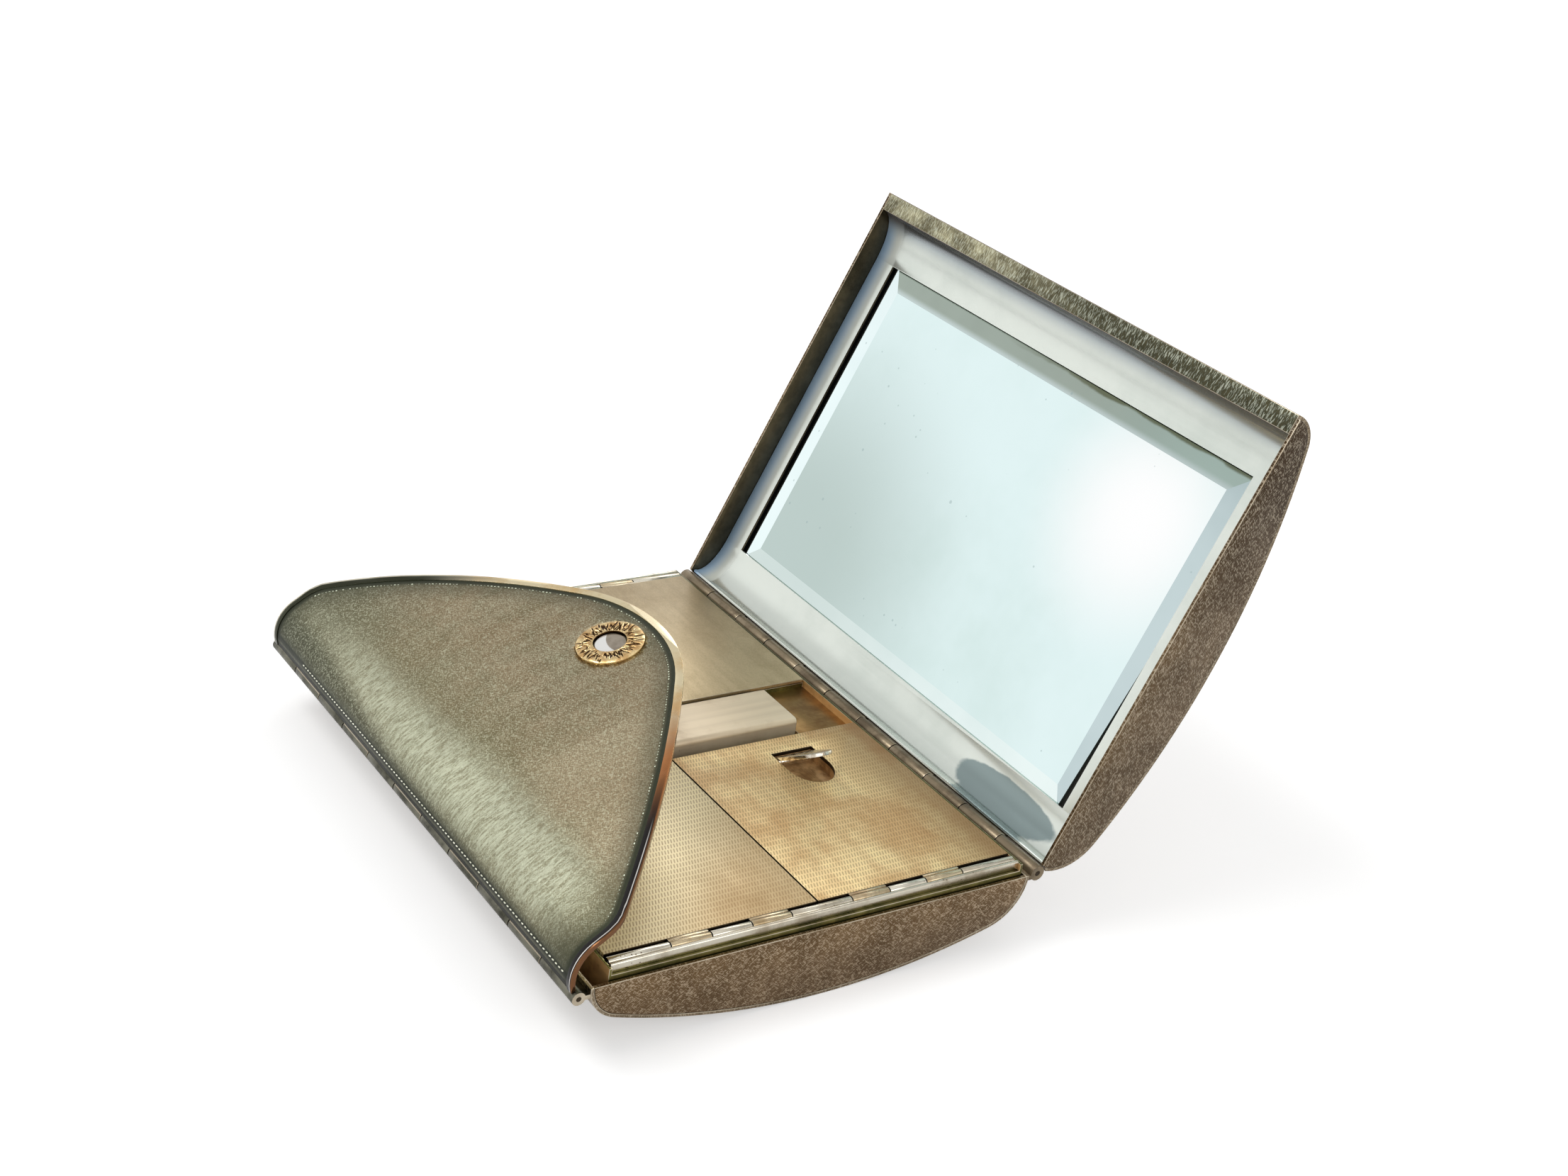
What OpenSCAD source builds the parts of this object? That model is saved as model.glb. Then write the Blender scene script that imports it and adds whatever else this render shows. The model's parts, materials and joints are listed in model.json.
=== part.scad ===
// Evening vanity case in engraved silver: a curved base with a fitted tray, a mirrored lid
// hinged at the back and an envelope flap hinged at the front, closed by a push-button clasp.
// Every piece is drawn with the case open as it stands on a table. X runs along the hinges,
// +Y is the side of the mirror lid, -Y the side of the flap, +Z is up.

/* [Case] */
// Overall width along the hinges
case_w = 170; // [140:1:200]
// Depth of the base rim, front edge to back edge
base_d = 122.4; // [105:0.2:140]
// Depth of the curved bottom below the rim
base_depth = 18.9; // [15:0.1:24]
// Radius of the front edge of the base
base_front_nose = 10; // [8:0.5:13]
// Where the bottom is deepest, measured back from the middle of the base
base_low_y = 4; // [0:0.5:8]
// Thickness of the curved silver sheets
sheet_t = 0.9; // [0.6:0.1:1.2]
// Thickness of the flat end plates
end_t = 1.0; // [0.8:0.1:1.4]

/* [Lid] */
// Angle that the lid stands open from closed
lid_open = 114.2; // [90:0.1:120]
// Height of the lid's crown above its rim
lid_depth = 19.6; // [16:0.1:24]
// Radius of the lid's front edge
lid_front_nose = 9; // [7:0.5:12]
// Where the crown is highest, measured back from the middle of the case
lid_crown_y = 5.4; // [0:0.2:8]
// How far the lid's front edge stays behind the axis of the flap hinge
lid_front_in = 0.2; // [0:0.1:0.8]
// Distance from the lid hinge axis to the lid's back edge
lid_back_in = 1.0; // [0.6:0.1:1.6]
// Gap between the two rims when the case is shut
rim_gap = 0.3; // [0.2:0.05:0.5]
// Depth of the textured ledge along the free edge
ledge_w = 5.1; // [4:0.1:6.5]
// Thickness of the ledge
ledge_t = 0.9; // [0.6:0.1:1.2]

/* [Mirror] */
// Width of the polished liner's strip beside the mirror
liner_side = 8; // [6:0.5:11]
// Width of the cove next to the hinge
cove_back_w = 12.1; // [10:0.1:14]
// Width of the cove next to the ledge
cove_front_w = 12.9; // [10:0.1:15]
// Height of the coves
cove_h = 5.7; // [4.5:0.1:6]
// Thickness of the liner
liner_t = 0.7; // [0.5:0.1:0.9]
// Gap between the liner and the glass at the bevel's inner edge
mirror_gap = 0.5; // [0.3:0.1:0.7]
// Thickness of the mirror glass
mirror_t = 1.4; // [1.2:0.1:1.6]
// Width of the bevel round the glass
bevel_w = 7; // [4:0.5:9]
// Drop of the bevel at the edge of the glass
bevel_drop = 0.6; // [0.3:0.1:0.8]
// How far the glass runs under the liner
mirror_lap = 1; // [0.6:0.1:1.5]
// Thickness of the backing card
card_t = 0.5; // [0.3:0.1:0.6]
// Thickness of the cradle that holds the glass
cradle_t = 0.45; // [0.4:0.05:0.6]

/* [Hinges] */
// Distance from the base rim to either long hinge axis
hinge_out = 2.7; // [2.4:0.1:3.2]
// Number of knuckles in each long hinge
knuckle_count = 11; // [7:2:15]
// Outer radius of the lid hinge
lid_knuckle_r = 2.0; // [1.7:0.1:2.2]
// Radius of the lid hinge pin
lid_pin_r = 0.7; // [0.6:0.05:0.9]
// Outer radius of the flap hinge
flap_knuckle_r = 1.65; // [1.4:0.05:1.8]
// Radius of the flap hinge pin
flap_pin_r = 0.6; // [0.5:0.05:0.7]
// Drop of the flap hinge axis below the rim
flap_axis_drop = 2.04; // [1.9:0.02:2.4]
// Clearance of a pin in its bore
pin_play = 0.05; // [0.02:0.01:0.08]
// Gap between neighbouring knuckles
knuckle_gap = 0.3; // [0.2:0.05:0.4]
// Clearance of everything that turns past a hinge tube
turn_gap = 0.3; // [0.25:0.05:0.4]

/* [Flap] */
// Angle that the flap stands open from closed
flap_open = 13.5; // [8:0.5:25]
// Thickness of the flap
flap_t = 0.9; // [0.7:0.1:1.2]
// Gap between the closed flap and the closed lid
flap_gap = 0.3; // [0.3:0.05:0.6]
// Width left at each side of the flap
flap_side = 1.0; // [0.6:0.1:2]
// Distance from the flap hinge to the corners
flap_corner = 12.9; // [10:0.1:16]
// Distance from the flap hinge to the tip
flap_reach = 71.4; // [60:0.2:80]
// Radius of the rounded tip
flap_tip_r = 45; // [30:1:55]
// Radius of the long slanted edges
flap_edge_r = 300; // [250:10:500]
// Width of the gold rim
rim_w = 2; // [1.5:0.1:3]
// Height of the gold rim above the sheet
rim_up = 0.2; // [0.1:0.05:0.3]

/* [Clasp] */
// Distance from the flap's tip to the middle of the clasp
clasp_from_tip = 13.9; // [12:0.1:18]
// Outer radius of the bark textured ring
ring_r = 8.75; // [7.5:0.05:10]
// Inner radius of the ring
ring_in_r = 4.35; // [3.8:0.05:5]
// Height of the ring
ring_h = 2.3; // [2:0.1:2.8]
// Travel of the push button
button_travel = 0.8; // [0.5:0.1:0.9]
// Radius of the button's stem
stem_r = 1.45; // [1.2:0.05:1.7]
// Outer radius of the latch barrel under the flap
barrel_r = 3.5; // [3.2:0.1:4]

/* [Tray] */
// Gap from the base rim at the front to the tray
tray_front_gap = 4.9; // [4:0.1:6]
// Gap from the base rim at the back to the tray
tray_back_gap = 1.6; // [1.4:0.1:2.4]
// Height of the covers' top above the rim
cover_z = 3.5; // [3:0.1:4]
// Thickness of the covers
cover_t = 1.0; // [0.8:0.1:1.2]
// Thickness of the tray's walls
wall_t = 0.8; // [0.6:0.1:1]
// Depth of the tray floor below the rim
tray_floor = 4.9; // [4.5:0.1:5.2]
// Width of the lipstick well between the covers
well_w = 24.8; // [22:0.2:28]
// How far the well lies to the far side of the middle
well_off = 0.9; // [0:0.1:2]
// Length of the end and middle knuckles in the covers' hinges
long_knuckle = 17; // [14:0.5:20]
// Outer radius of the covers' hinges
cover_knuckle_r = 1.2; // [1.1:0.05:1.3]
// Radius of the covers' hinge pins
cover_pin_r = 0.5; // [0.4:0.05:0.6]
// Distance from the case's end to the axis of the covers' hinge
cover_axis_in = 4.5; // [4.3:0.1:5]

/* [Finger hole] */
// Distance from the free edge of the cover to the hole
hole_in = 6.8; // [5:0.1:9]
// Half width of the finger hole
hole_r = 8.1; // [7:0.1:9]
// Distance from the tray's middle partition to the middle of the hole
hole_y = 34.2; // [28:0.2:38]
// Angle that the thumb tab stands up
tab_open = 31; // [0:1:60]
// Thickness of the thumb tab
tab_t = 0.9; // [0.7:0.1:1]

/* [Lipstick] */
// Width of the lipstick case
stick_w = 17.5; // [15:0.5:20]
// Length of the lipstick case
stick_len = 84.8; // [76:0.2:90]
// Height of the lipstick case's top above the covers
stick_up = 2; // [1:0.1:2.5]
// Radius of its upper long edges
stick_edge_r = 3; // [2:0.1:4]

/* [Hidden] */
$fn = 48;
nose_n = 9;
crown_n = 26;
cut = 1;
half_w = case_w / 2;
rim_y = base_d / 2;
hinge_y = rim_y + hinge_out;
flap_z = -flap_axis_drop;
lid_clear_r = lid_knuckle_r + turn_gap;
flap_clear_r = flap_knuckle_r + turn_gap;
pitch = case_w / knuckle_count;
// Leaves that tie the fixed knuckles to the base
leaf_t = 1.1;
leaf_in = 1.3;

// A crown is [middle, reach to the front, reach to the back, height, radius of the front nose]
base_crown = [base_low_y, rim_y + base_low_y, rim_y - base_low_y, base_depth, base_front_nose];
lid_front_y = lid_front_in - hinge_y;
lid_crown = [lid_crown_y, lid_crown_y - lid_front_y, hinge_y - lid_back_in - lid_crown_y,
    lid_depth, lid_front_nose];

// The open case's own extent, for the frame of the part
crown_rad = crown_radius(lid_crown);
crown_z = lid_depth - crown_rad;
nose_reach = lid_front_nose - cos(lid_open) * (hinge_y - lid_front_y - lid_front_nose);
crown_reach = crown_rad + crown_z * sin(lid_open) - cos(lid_open) * (hinge_y - lid_crown_y);
back_reach = hinge_y + (lid_open > front_angle(lid_crown) ? nose_reach : crown_reach);
flap_nose_y = lid_front_y + lid_front_nose + hinge_y;
flap_nose_r = lid_front_nose + flap_gap + flap_t + rim_up;
front_reach = hinge_y - (flap_nose_y * cos(flap_open) + flap_z * sin(flap_open)) + flap_nose_r;
frame_y = (front_reach - back_reach) / 2;

// Mirror stack, all heights above the lid's rim plane while it is shut
ledge_top = rim_gap + ledge_t;
ledge_gap = 0.1;
liner_z = ledge_top + cove_h;
glass_z = liner_z + liner_t + mirror_gap;
card_z = glass_z + mirror_t;
cradle_z = card_z + card_t;
liner_gap = 0.1;
liner_x = half_w - end_t - liner_gap;
open_x = half_w - liner_side - end_t;
cove_n = 8;
back_gap = 2.9;
cove_step = 0.2;
cove_back_y = hinge_y - back_gap - cove_back_w;
cove_front_y = lid_front_y + ledge_w + cove_step + cove_front_w;
cradle_play = 0.3;

// Clasp, heights above the flat seat cut into the flap
seat_cut = 0.3;
clasp_y = flap_reach - hinge_y - clasp_from_tip;
seat_play = 0.05;
seat_rad = crown_rad + flap_gap + flap_t - seat_cut;
clasp_tilt = asin((lid_crown_y - clasp_y) / seat_rad);
barrel_top = flap_t - seat_cut + seat_play;
barrel_len = 1.95;
bore_depth = 1.15;
collar_t = 0.5;
collar_r = 2.2;
counter_r = 2.5;
disc_low = 1.2;
disc_t = 0.7;
washer_t = 0.3;
ring_side_h = 1;
ring_n = 10;
button_play = 0.2;
washer_out_gap = 0.75;
washer_in_gap = 0.45;
cup_wall = 0.8;
cup_room = 1.2;
cup_r = barrel_r + cup_room;
cup_len = 2.4;
cup_drop = 0.15;

// Tray
edge_gap = 0.3;
tray_x = half_w - end_t - edge_gap;
tray_seat = 0.1;
tray_y0 = -rim_y + tray_front_gap;
tray_y1 = rim_y - tray_back_gap;
tray_mid = (tray_y0 + tray_y1) / 2;
floor_t = 0.7;
lip_z = 3.0;
part_t = 0.6;
part_z = cover_z - cover_t - turn_gap;
well_x0 = -well_off - well_w / 2;
well_x1 = -well_off + well_w / 2;
part_in = 0.2;
rail_t = 1.1;
rail_in = 1.85;
flange_z = 1.2;
flange_t = 0.6;
axis_x = half_w - cover_axis_in;
knuckle_proud = 0.1;
axis_z = cover_z + knuckle_proud - cover_knuckle_r;
plate_x = axis_x - cover_knuckle_r - turn_gap;
leaf_wall = 0.3;
tray_leaf_t = 0.8;
cover_y0 = tray_y0 + wall_t + edge_gap;
cover_y1 = tray_y1 - wall_t - edge_gap;
split = 0.3;
short_knuckle = (tray_y1 - tray_y0 - 3 * long_knuckle) / 6;
rest_z = 1.0;
rest_t = 0.7;
rest_gap = 1.4;

// Finger hole, cup and tab
hole_x = well_x1 + hole_in;
hole_c = tray_mid + hole_y;
cup_depth = 2.3;
cup_t = 0.8;
cup_floor = 0.5;
tab_in = 1.7;
tab_drop = 0.6;
tab_x = hole_x + tab_in;
tab_z = cover_z - cover_t - tab_drop;
tab_barrel_r = 0.9;
tab_pin_r = 0.4;
tab_up = 0.4;
tab_gap = 0.3;
snug = 0.03;

// Lipstick case
stick_z0 = -tray_floor + edge_gap;
stick_z1 = cover_z + stick_up;
stick_x = -well_off;
stick_wall = 0.9;
spigot_t = 0.7;
stick_cap = 12;
spigot_len = 6;
low_edge_r = 1.5;
least_edge_r = 0.4;

// Points on an arc, with or without its two ends
function arc(x, y, r, a0, a1, n) =
    [for (i = [0 : n]) [x + r * cos(a0 + (a1 - a0) * i / n), y + r * sin(a0 + (a1 - a0) * i / n)]];
function inner_arc(x, y, r, a0, a1, n) =
    [for (i = [1 : n - 1]) [x + r * cos(a0 + (a1 - a0) * i / n), y + r * sin(a0 + (a1 - a0) * i / n)]];
function reversed(pts) = [for (i = [len(pts) - 1 : -1 : 0]) pts[i]];
function flipped(pts) = [for (p = pts) [p[0], -p[1]]];

// The crown's large radius and its back nose both follow from the crown's reach and height
function crown_radius(c) =
    (pow(c[1] - c[4], 2) + c[3] * c[3] - c[4] * c[4]) / (2 * (c[3] - c[4]));
function back_nose(c) =
    (2 * crown_radius(c) * c[3] - c[2] * c[2] - c[3] * c[3]) / (2 * (crown_radius(c) - c[2]));
function front_angle(c) = atan2(crown_radius(c) - c[3], c[4] - c[1]);
function back_angle(c) = atan2(crown_radius(c) - c[3], c[2] - back_nose(c));

// Section line of a crown, moved in by t
function crown_line(c, t) = concat(
    arc(c[0] - c[1] + c[4], 0, c[4] - t, 180, front_angle(c), nose_n),
    inner_arc(c[0], c[3] - crown_radius(c), crown_radius(c) - t, front_angle(c), back_angle(c), crown_n),
    arc(c[0] + c[2] - back_nose(c), 0, back_nose(c) - t, back_angle(c), 0, nose_n));
function band(c, t0, t1) = concat(crown_line(c, t0), reversed(crown_line(c, t1)));

// Half of the flap's outline, from the tip to the corner, moved in by s
tip_c = [0, flap_reach - hinge_y - flap_tip_r];
corner = [half_w - flap_side, flap_corner - hinge_y];
tip_gap = norm(corner - tip_c);
tip_dir = (corner - tip_c) / tip_gap;
edge_along = (pow(flap_edge_r - flap_tip_r, 2) - pow(flap_edge_r, 2) + tip_gap * tip_gap) / (2 * tip_gap);
edge_across = sqrt(pow(flap_edge_r - flap_tip_r, 2) - edge_along * edge_along);
edge_c = tip_c + edge_along * tip_dir + edge_across * [tip_dir[1], -tip_dir[0]];
edge_a = atan2(tip_c[1] - edge_c[1], tip_c[0] - edge_c[0]);
corner_cut = 3.5;
tip_n = 10;
edge_n = 8;
corner_n = 4;
function side_y(s) = edge_c[1] + sqrt(pow(flap_edge_r - s, 2) - pow(corner[0] - s - edge_c[0], 2));
function side_a(s) = atan2(side_y(s) - edge_c[1], corner[0] - s - edge_c[0]);
function half_outline(s) = concat(
    arc(tip_c[0], tip_c[1], flap_tip_r - s, 90, edge_a, tip_n),
    inner_arc(edge_c[0], edge_c[1], flap_edge_r - s, edge_a, side_a(s) + corner_turn, edge_n),
    corner_curve(s));
corner_turn = corner_cut / flap_edge_r * 180 / PI;
function corner_curve(s) = let (
    p0 = [edge_c[0] + (flap_edge_r - s) * cos(side_a(s) + corner_turn),
        edge_c[1] + (flap_edge_r - s) * sin(side_a(s) + corner_turn)],
    p1 = [corner[0] - s, side_y(s)],
    p2 = [corner[0] - s, side_y(s) - corner_cut])
    [for (i = [0 : corner_n]) let (k = i / corner_n) (1 - k) * (1 - k) * p0 + 2 * k * (1 - k) * p1 + k * k * p2];
outline_tail = 8;
outline_low = -hinge_y - outline_tail;
function outline(s) = concat(
    [for (p = reversed(half_outline(s))) [-p[0], p[1]]],
    [for (i = [1 : len(half_outline(s)) - 1]) half_outline(s)[i]],
    [[corner[0] - s, outline_low], [s - corner[0], outline_low]]);

// Frames
module placed() {
    translate([0, frame_y, base_depth])
        children();
}

module lid_frame() {
    placed()
        translate([0, hinge_y, 0])
            rotate([-lid_open, 0, 0])
                translate([0, -hinge_y, 0])
                    children();
}

module flap_frame() {
    placed()
        translate([0, -hinge_y, flap_z])
            rotate([flap_open, 0, 0])
                translate([0, hinge_y, -flap_z])
                    children();
}

module clasp_frame() {
    translate([0, lid_crown_y, crown_z])
        rotate([clasp_tilt, 0, 0])
            translate([0, 0, seat_rad])
                children();
}

module along_x(w, x = 0) {
    translate([x, 0, 0])
        rotate([90, 0, 90])
            linear_extrude(height = w, center = true)
                children();
}

module rod_x(r, w) {
    rotate([0, 90, 0])
        cylinder(r = r, h = w, center = true);
}

module rod_y(r, w) {
    rotate([90, 0, 0])
        cylinder(r = r, h = w, center = true);
}

module block(x0, x1, y0, y1, z0, z1) {
    translate([x0, y0, z0])
        cube([x1 - x0, y1 - y0, z1 - z0]);
}

// Base
module base_shell() {
    color([0.55, 0.51, 0.43])
        placed()
            along_x(case_w)
                polygon(flipped(band(base_crown, 0, sheet_t)));
}

module base_end(side) {
    color([0.5, 0.44, 0.38])
        placed()
            along_x(end_t, side * (half_w - end_t / 2))
                polygon(flipped(crown_line(base_crown, sheet_t)));
}

module base_end_near() {
    base_end(1);
}

module base_end_far() {
    base_end(-1);
}

module base_lid_hinge() {
    color([0.62, 0.59, 0.53])
        placed()
            for (i = [0 : 2 : knuckle_count - 1])
                translate([(i + 0.5) * pitch - half_w, 0, 0])
                    difference() {
                        union() {
                            translate([0, hinge_y, 0])
                                rod_x(lid_knuckle_r, pitch - knuckle_gap);
                            difference() {
                                block((knuckle_gap - pitch) / 2, (pitch - knuckle_gap) / 2,
                                    rim_y - leaf_in, hinge_y - leaf_in, -leaf_t - turn_gap, -turn_gap);
                                along_x(pitch)
                                    polygon(flipped(crown_line(base_crown, 0)));
                            }
                        }
                        translate([0, hinge_y, 0])
                            rod_x(lid_pin_r + pin_play, pitch + cut);
                    }
}

module base_flap_hinge() {
    color([0.62, 0.59, 0.53])
        placed()
            for (i = [0 : 2 : knuckle_count - 1])
                translate([(i + 0.5) * pitch - half_w, 0, 0])
                    difference() {
                        union() {
                            translate([0, -hinge_y, flap_z])
                                rod_x(flap_knuckle_r, pitch - knuckle_gap);
                            difference() {
                                block((knuckle_gap - pitch) / 2, (pitch - knuckle_gap) / 2,
                                    leaf_in - hinge_y, leaf_in - rim_y,
                                    flap_z - leaf_t / 2, flap_z + leaf_t / 2);
                                along_x(pitch)
                                    polygon(flipped(crown_line(base_crown, 0)));
                            }
                        }
                        translate([0, -hinge_y, flap_z])
                            rod_x(flap_pin_r + pin_play, pitch + cut);
                    }
}

module lid_pin() {
    color([0.7, 0.68, 0.62])
        placed()
            translate([0, hinge_y, 0])
                rod_x(lid_pin_r, case_w - knuckle_gap);
}

module flap_pin() {
    color([0.7, 0.68, 0.62])
        placed()
            translate([0, -hinge_y, flap_z])
                rod_x(flap_pin_r, case_w - knuckle_gap);
}

// Tray in the base
module tray_pan() {
    low = -tray_floor - floor_t;
    color([0.48, 0.47, 0.33])
        placed()
            intersection() {
                tray_walls(low);
                union() {
                    along_x(case_w)
                        polygon(flipped(crown_line(base_crown, sheet_t + tray_seat)));
                    block(-half_w, half_w, -rim_y, rim_y, -tray_seat, cover_z);
                }
            }
}

module tray_walls(low) {
    block(-tray_x, tray_x, tray_y0, tray_y1, low, -tray_floor);
    block(-tray_x, tray_x, tray_y0, tray_y0 + wall_t, low, lip_z);
    block(-tray_x, tray_x, tray_y1 - wall_t, tray_y1, low, lip_z);
    for (s = [-1, 1]) {
        translate([s * (tray_x - floor_t / 2), tray_mid, (low + flange_z) / 2])
            cube([floor_t, tray_y1 - tray_y0, flange_z - low], center = true);
        translate([s * (tray_x - rail_in / 2), tray_mid, flange_z - flange_t / 2])
            cube([rail_in, tray_y1 - tray_y0, flange_t], center = true);
    }
    block(well_x0 - part_in - part_t, well_x0 - part_in, tray_y0, tray_y1, low, part_z);
    block(well_x1 + part_in, well_x1 + part_in + part_t, tray_y0, tray_y1, low, part_z);
    block(well_x1 + part_in, tray_x, tray_mid - part_t / 2, tray_mid + part_t / 2, low, flange_z);
    block(well_x1 + part_in, plate_x, tray_mid - part_t / 2, tray_mid + part_t / 2, low, part_z);
}

// Bent plate that closes one end of the well and leaves a shallow finger space
module well_rest(y_in, y_out) {
    color([0.56, 0.44, 0.28])
        placed() {
            block(well_x0 - part_in, well_x1 + part_in, min(y_in, y_out), max(y_in, y_out),
                rest_z - rest_t, rest_z);
            block(well_x0 - part_in, well_x1 + part_in, y_in - rest_t / 2, y_in + rest_t / 2,
                -tray_floor, rest_z);
        }
}

module well_rest_front() {
    well_rest(-stick_len / 2 - rest_gap, tray_y0 + wall_t);
}

module well_rest_back() {
    well_rest(stick_len / 2 + rest_gap, tray_y1 - wall_t);
}

module tray_rail(s) {
    x = tray_x - rail_in + rail_t / 2;
    color([0.86, 0.84, 0.77])
        placed()
            translate([s * x, tray_mid, 0]) {
                translate([0, 0, (flange_z + lip_z) / 2])
                    cube([rail_t, tray_y1 - tray_y0 - 2 * wall_t, lip_z - flange_z], center = true);
                translate([0, 0, lip_z])
                    rod_y(rail_t / 2, tray_y1 - tray_y0 - 2 * wall_t);
            }
}

module tray_rail_near() {
    tray_rail(1);
}

module tray_rail_far() {
    tray_rail(-1);
}

// Knuckles of the covers' hinges, counted from the front: 0, 2, 4, 6 and 8 are the tray's
function knuckle_len(i) = (i == 0 || i == 4 || i == 8) ? long_knuckle : short_knuckle;
function knuckle_start(i) = i == 0 ? tray_y0 : knuckle_start(i - 1) + knuckle_len(i - 1);

module cover_knuckle(s, i) {
    y0 = max(knuckle_start(i) + knuckle_gap / 2, cover_y0);
    y1 = min(knuckle_start(i) + knuckle_len(i) - knuckle_gap / 2, cover_y1);
    translate([s * axis_x, (y0 + y1) / 2, axis_z])
        rod_y(cover_knuckle_r, y1 - y0);
}

module cover_leaf(s, i, x0, x1, z0, z1) {
    y0 = max(knuckle_start(i) + knuckle_gap / 2, cover_y0);
    y1 = min(knuckle_start(i) + knuckle_len(i) - knuckle_gap / 2, cover_y1);
    translate([s * (x0 + x1) / 2, (y0 + y1) / 2, (z0 + z1) / 2])
        cube([x1 - x0, y1 - y0, z1 - z0], center = true);
}

module knuckle_set(s, which, x0, x1, z0, z1) {
    difference() {
        for (i = which)
            union() {
                cover_knuckle(s, i);
                cover_leaf(s, i, x0, x1, z0, z1);
            }
        translate([s * axis_x, tray_mid, axis_z])
            rod_y(cover_pin_r + pin_play, tray_y1 - tray_y0);
    }
}

module tray_hinge(s) {
    color([0.78, 0.76, 0.7])
        placed()
            knuckle_set(s, [0 : 2 : 8], axis_x + cover_pin_r + leaf_wall, tray_x - rail_in,
                axis_z - tray_leaf_t / 2, axis_z + tray_leaf_t / 2);
}

module tray_hinge_near() {
    tray_hinge(1);
}

module tray_hinge_far() {
    tray_hinge(-1);
}

module cover_pin(s) {
    color([0.7, 0.68, 0.62])
        placed()
            translate([s * axis_x, tray_mid, axis_z])
                rod_y(cover_pin_r, cover_y1 - cover_y0);
}

module cover_pin_near() {
    cover_pin(1);
}

module cover_pin_far() {
    cover_pin(-1);
}

// Covers
module cover_hinge(s, which) {
    color([0.84, 0.82, 0.76])
        placed()
            knuckle_set(s, which, plate_x, axis_x - cover_pin_r - leaf_wall, cover_z - cover_t,
                cover_z);
}

module far_cover_plate() {
    color([0.5, 0.47, 0.38])
        placed()
            block(-plate_x, well_x0, cover_y0, cover_y1, cover_z - cover_t, cover_z);
}

module far_cover_hinge() {
    cover_hinge(-1, [1 : 2 : 7]);
}

module front_cover_plate() {
    color([0.72, 0.57, 0.33])
        placed()
            block(well_x1, plate_x, cover_y0, tray_mid - split / 2, cover_z - cover_t, cover_z);
}

module front_cover_hinge() {
    cover_hinge(1, [1 : 2 : 3]);
}

// The finger hole's shape, grown by g, between two heights
module hole_shape(g, z0, z1) {
    translate([hole_x + hole_r, hole_c, z0])
        cylinder(r = hole_r + g, h = z1 - z0);
    block(hole_x - g, hole_x + hole_r, hole_c - hole_r - g, hole_c + hole_r + g, z0, z1);
}

module back_cover_plate() {
    color([0.72, 0.57, 0.33])
        placed()
            difference() {
                block(well_x1, plate_x, tray_mid + split / 2, cover_y1, cover_z - cover_t, cover_z);
                hole_shape(0, cover_z - cover_t - cut, cover_z + cut);
            }
}

module back_cover_hinge() {
    cover_hinge(1, [5 : 2 : 7]);
}

module finger_cup() {
    top = cover_z - cover_t;
    color([0.66, 0.53, 0.32])
        placed()
            difference() {
                hole_shape(cup_t, top - cup_depth - cup_floor, top);
                hole_shape(0, top - cup_depth, top + cut);
                translate([tab_x, hole_c, tab_z])
                    rod_y(tab_pin_r + snug, 2 * (hole_r + cup_t + cut));
            }
}

module tab_pin() {
    color([0.8, 0.78, 0.7])
        placed()
            translate([tab_x, hole_c, tab_z])
                rod_y(tab_pin_r, 2 * (hole_r + cup_t));
}

module thumb_tab() {
    r = hole_r - tab_gap;
    color([0.88, 0.8, 0.6])
        placed()
            translate([tab_x, hole_c, tab_z])
                rotate([0, -tab_open, 0])
                    difference() {
                        union() {
                            rod_y(tab_barrel_r, 2 * r);
                            block(0, hole_x + hole_r - tab_x, -r, r, tab_up, tab_up + tab_t);
                            intersection() {
                                translate([hole_x + hole_r - tab_x, 0, tab_up])
                                    cylinder(r = r, h = tab_t);
                                block(0, 2 * hole_r, -hole_r, hole_r, 0, tab_up + tab_t);
                            }
                        }
                        rod_y(tab_pin_r + pin_play, 2 * r + cut);
                    }
}

// Lipstick case
function stick_section(t) = let (
    x0 = -stick_w / 2 + t,
    x1 = stick_w / 2 - t,
    z0 = stick_z0 + t,
    z1 = stick_z1 - t,
    r = stick_edge_r - t,
    q = max(low_edge_r - t, least_edge_r))
    concat(arc(x1 - r, z1 - r, r, 0, 90, 6), arc(x0 + r, z1 - r, r, 90, 180, 6),
        arc(x0 + q, z0 + q, q, 180, 270, 4), arc(x1 - q, z0 + q, q, 270, 360, 4));

module stick_prism(t, y0, y1) {
    translate([stick_x, y1, 0])
        rotate([90, 0, 0])
            linear_extrude(height = y1 - y0)
                polygon(stick_section(t));
}

module lipstick_sleeve() {
    y0 = stick_cap - stick_len / 2;
    color([0.74, 0.69, 0.63])
        placed()
            difference() {
                stick_prism(0, y0, stick_len / 2);
                stick_prism(stick_wall, y0 - cut, stick_len / 2 - stick_wall);
            }
}

module lipstick_cap() {
    y0 = -stick_len / 2;
    color([0.74, 0.69, 0.63])
        placed()
            difference() {
                union() {
                    stick_prism(0, y0, y0 + stick_cap);
                    stick_prism(stick_wall + pin_play, y0 + stick_cap - cut, y0 + stick_cap + spigot_len);
                }
                stick_prism(stick_wall + spigot_t, y0 + stick_wall, y0 + stick_cap + spigot_len + cut);
            }
}

// Lid
module lid_shell() {
    color([0.55, 0.51, 0.43])
        lid_frame()
            difference() {
                along_x(case_w)
                    polygon(band(lid_crown, 0, sheet_t));
                block(-half_w - cut, half_w + cut, lid_front_y - cut, hinge_y + cut, -cut, rim_gap);
                block(end_t - half_w, half_w - end_t, lid_front_y - cut, 0, -cut, ledge_top);
                translate([0, hinge_y, 0])
                    rod_x(lid_clear_r, case_w + cut);
                clasp_frame()
                    translate([0, 0, -crown_rad / 2])
                        cylinder(r = cup_r, h = crown_rad);
            }
}

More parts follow.
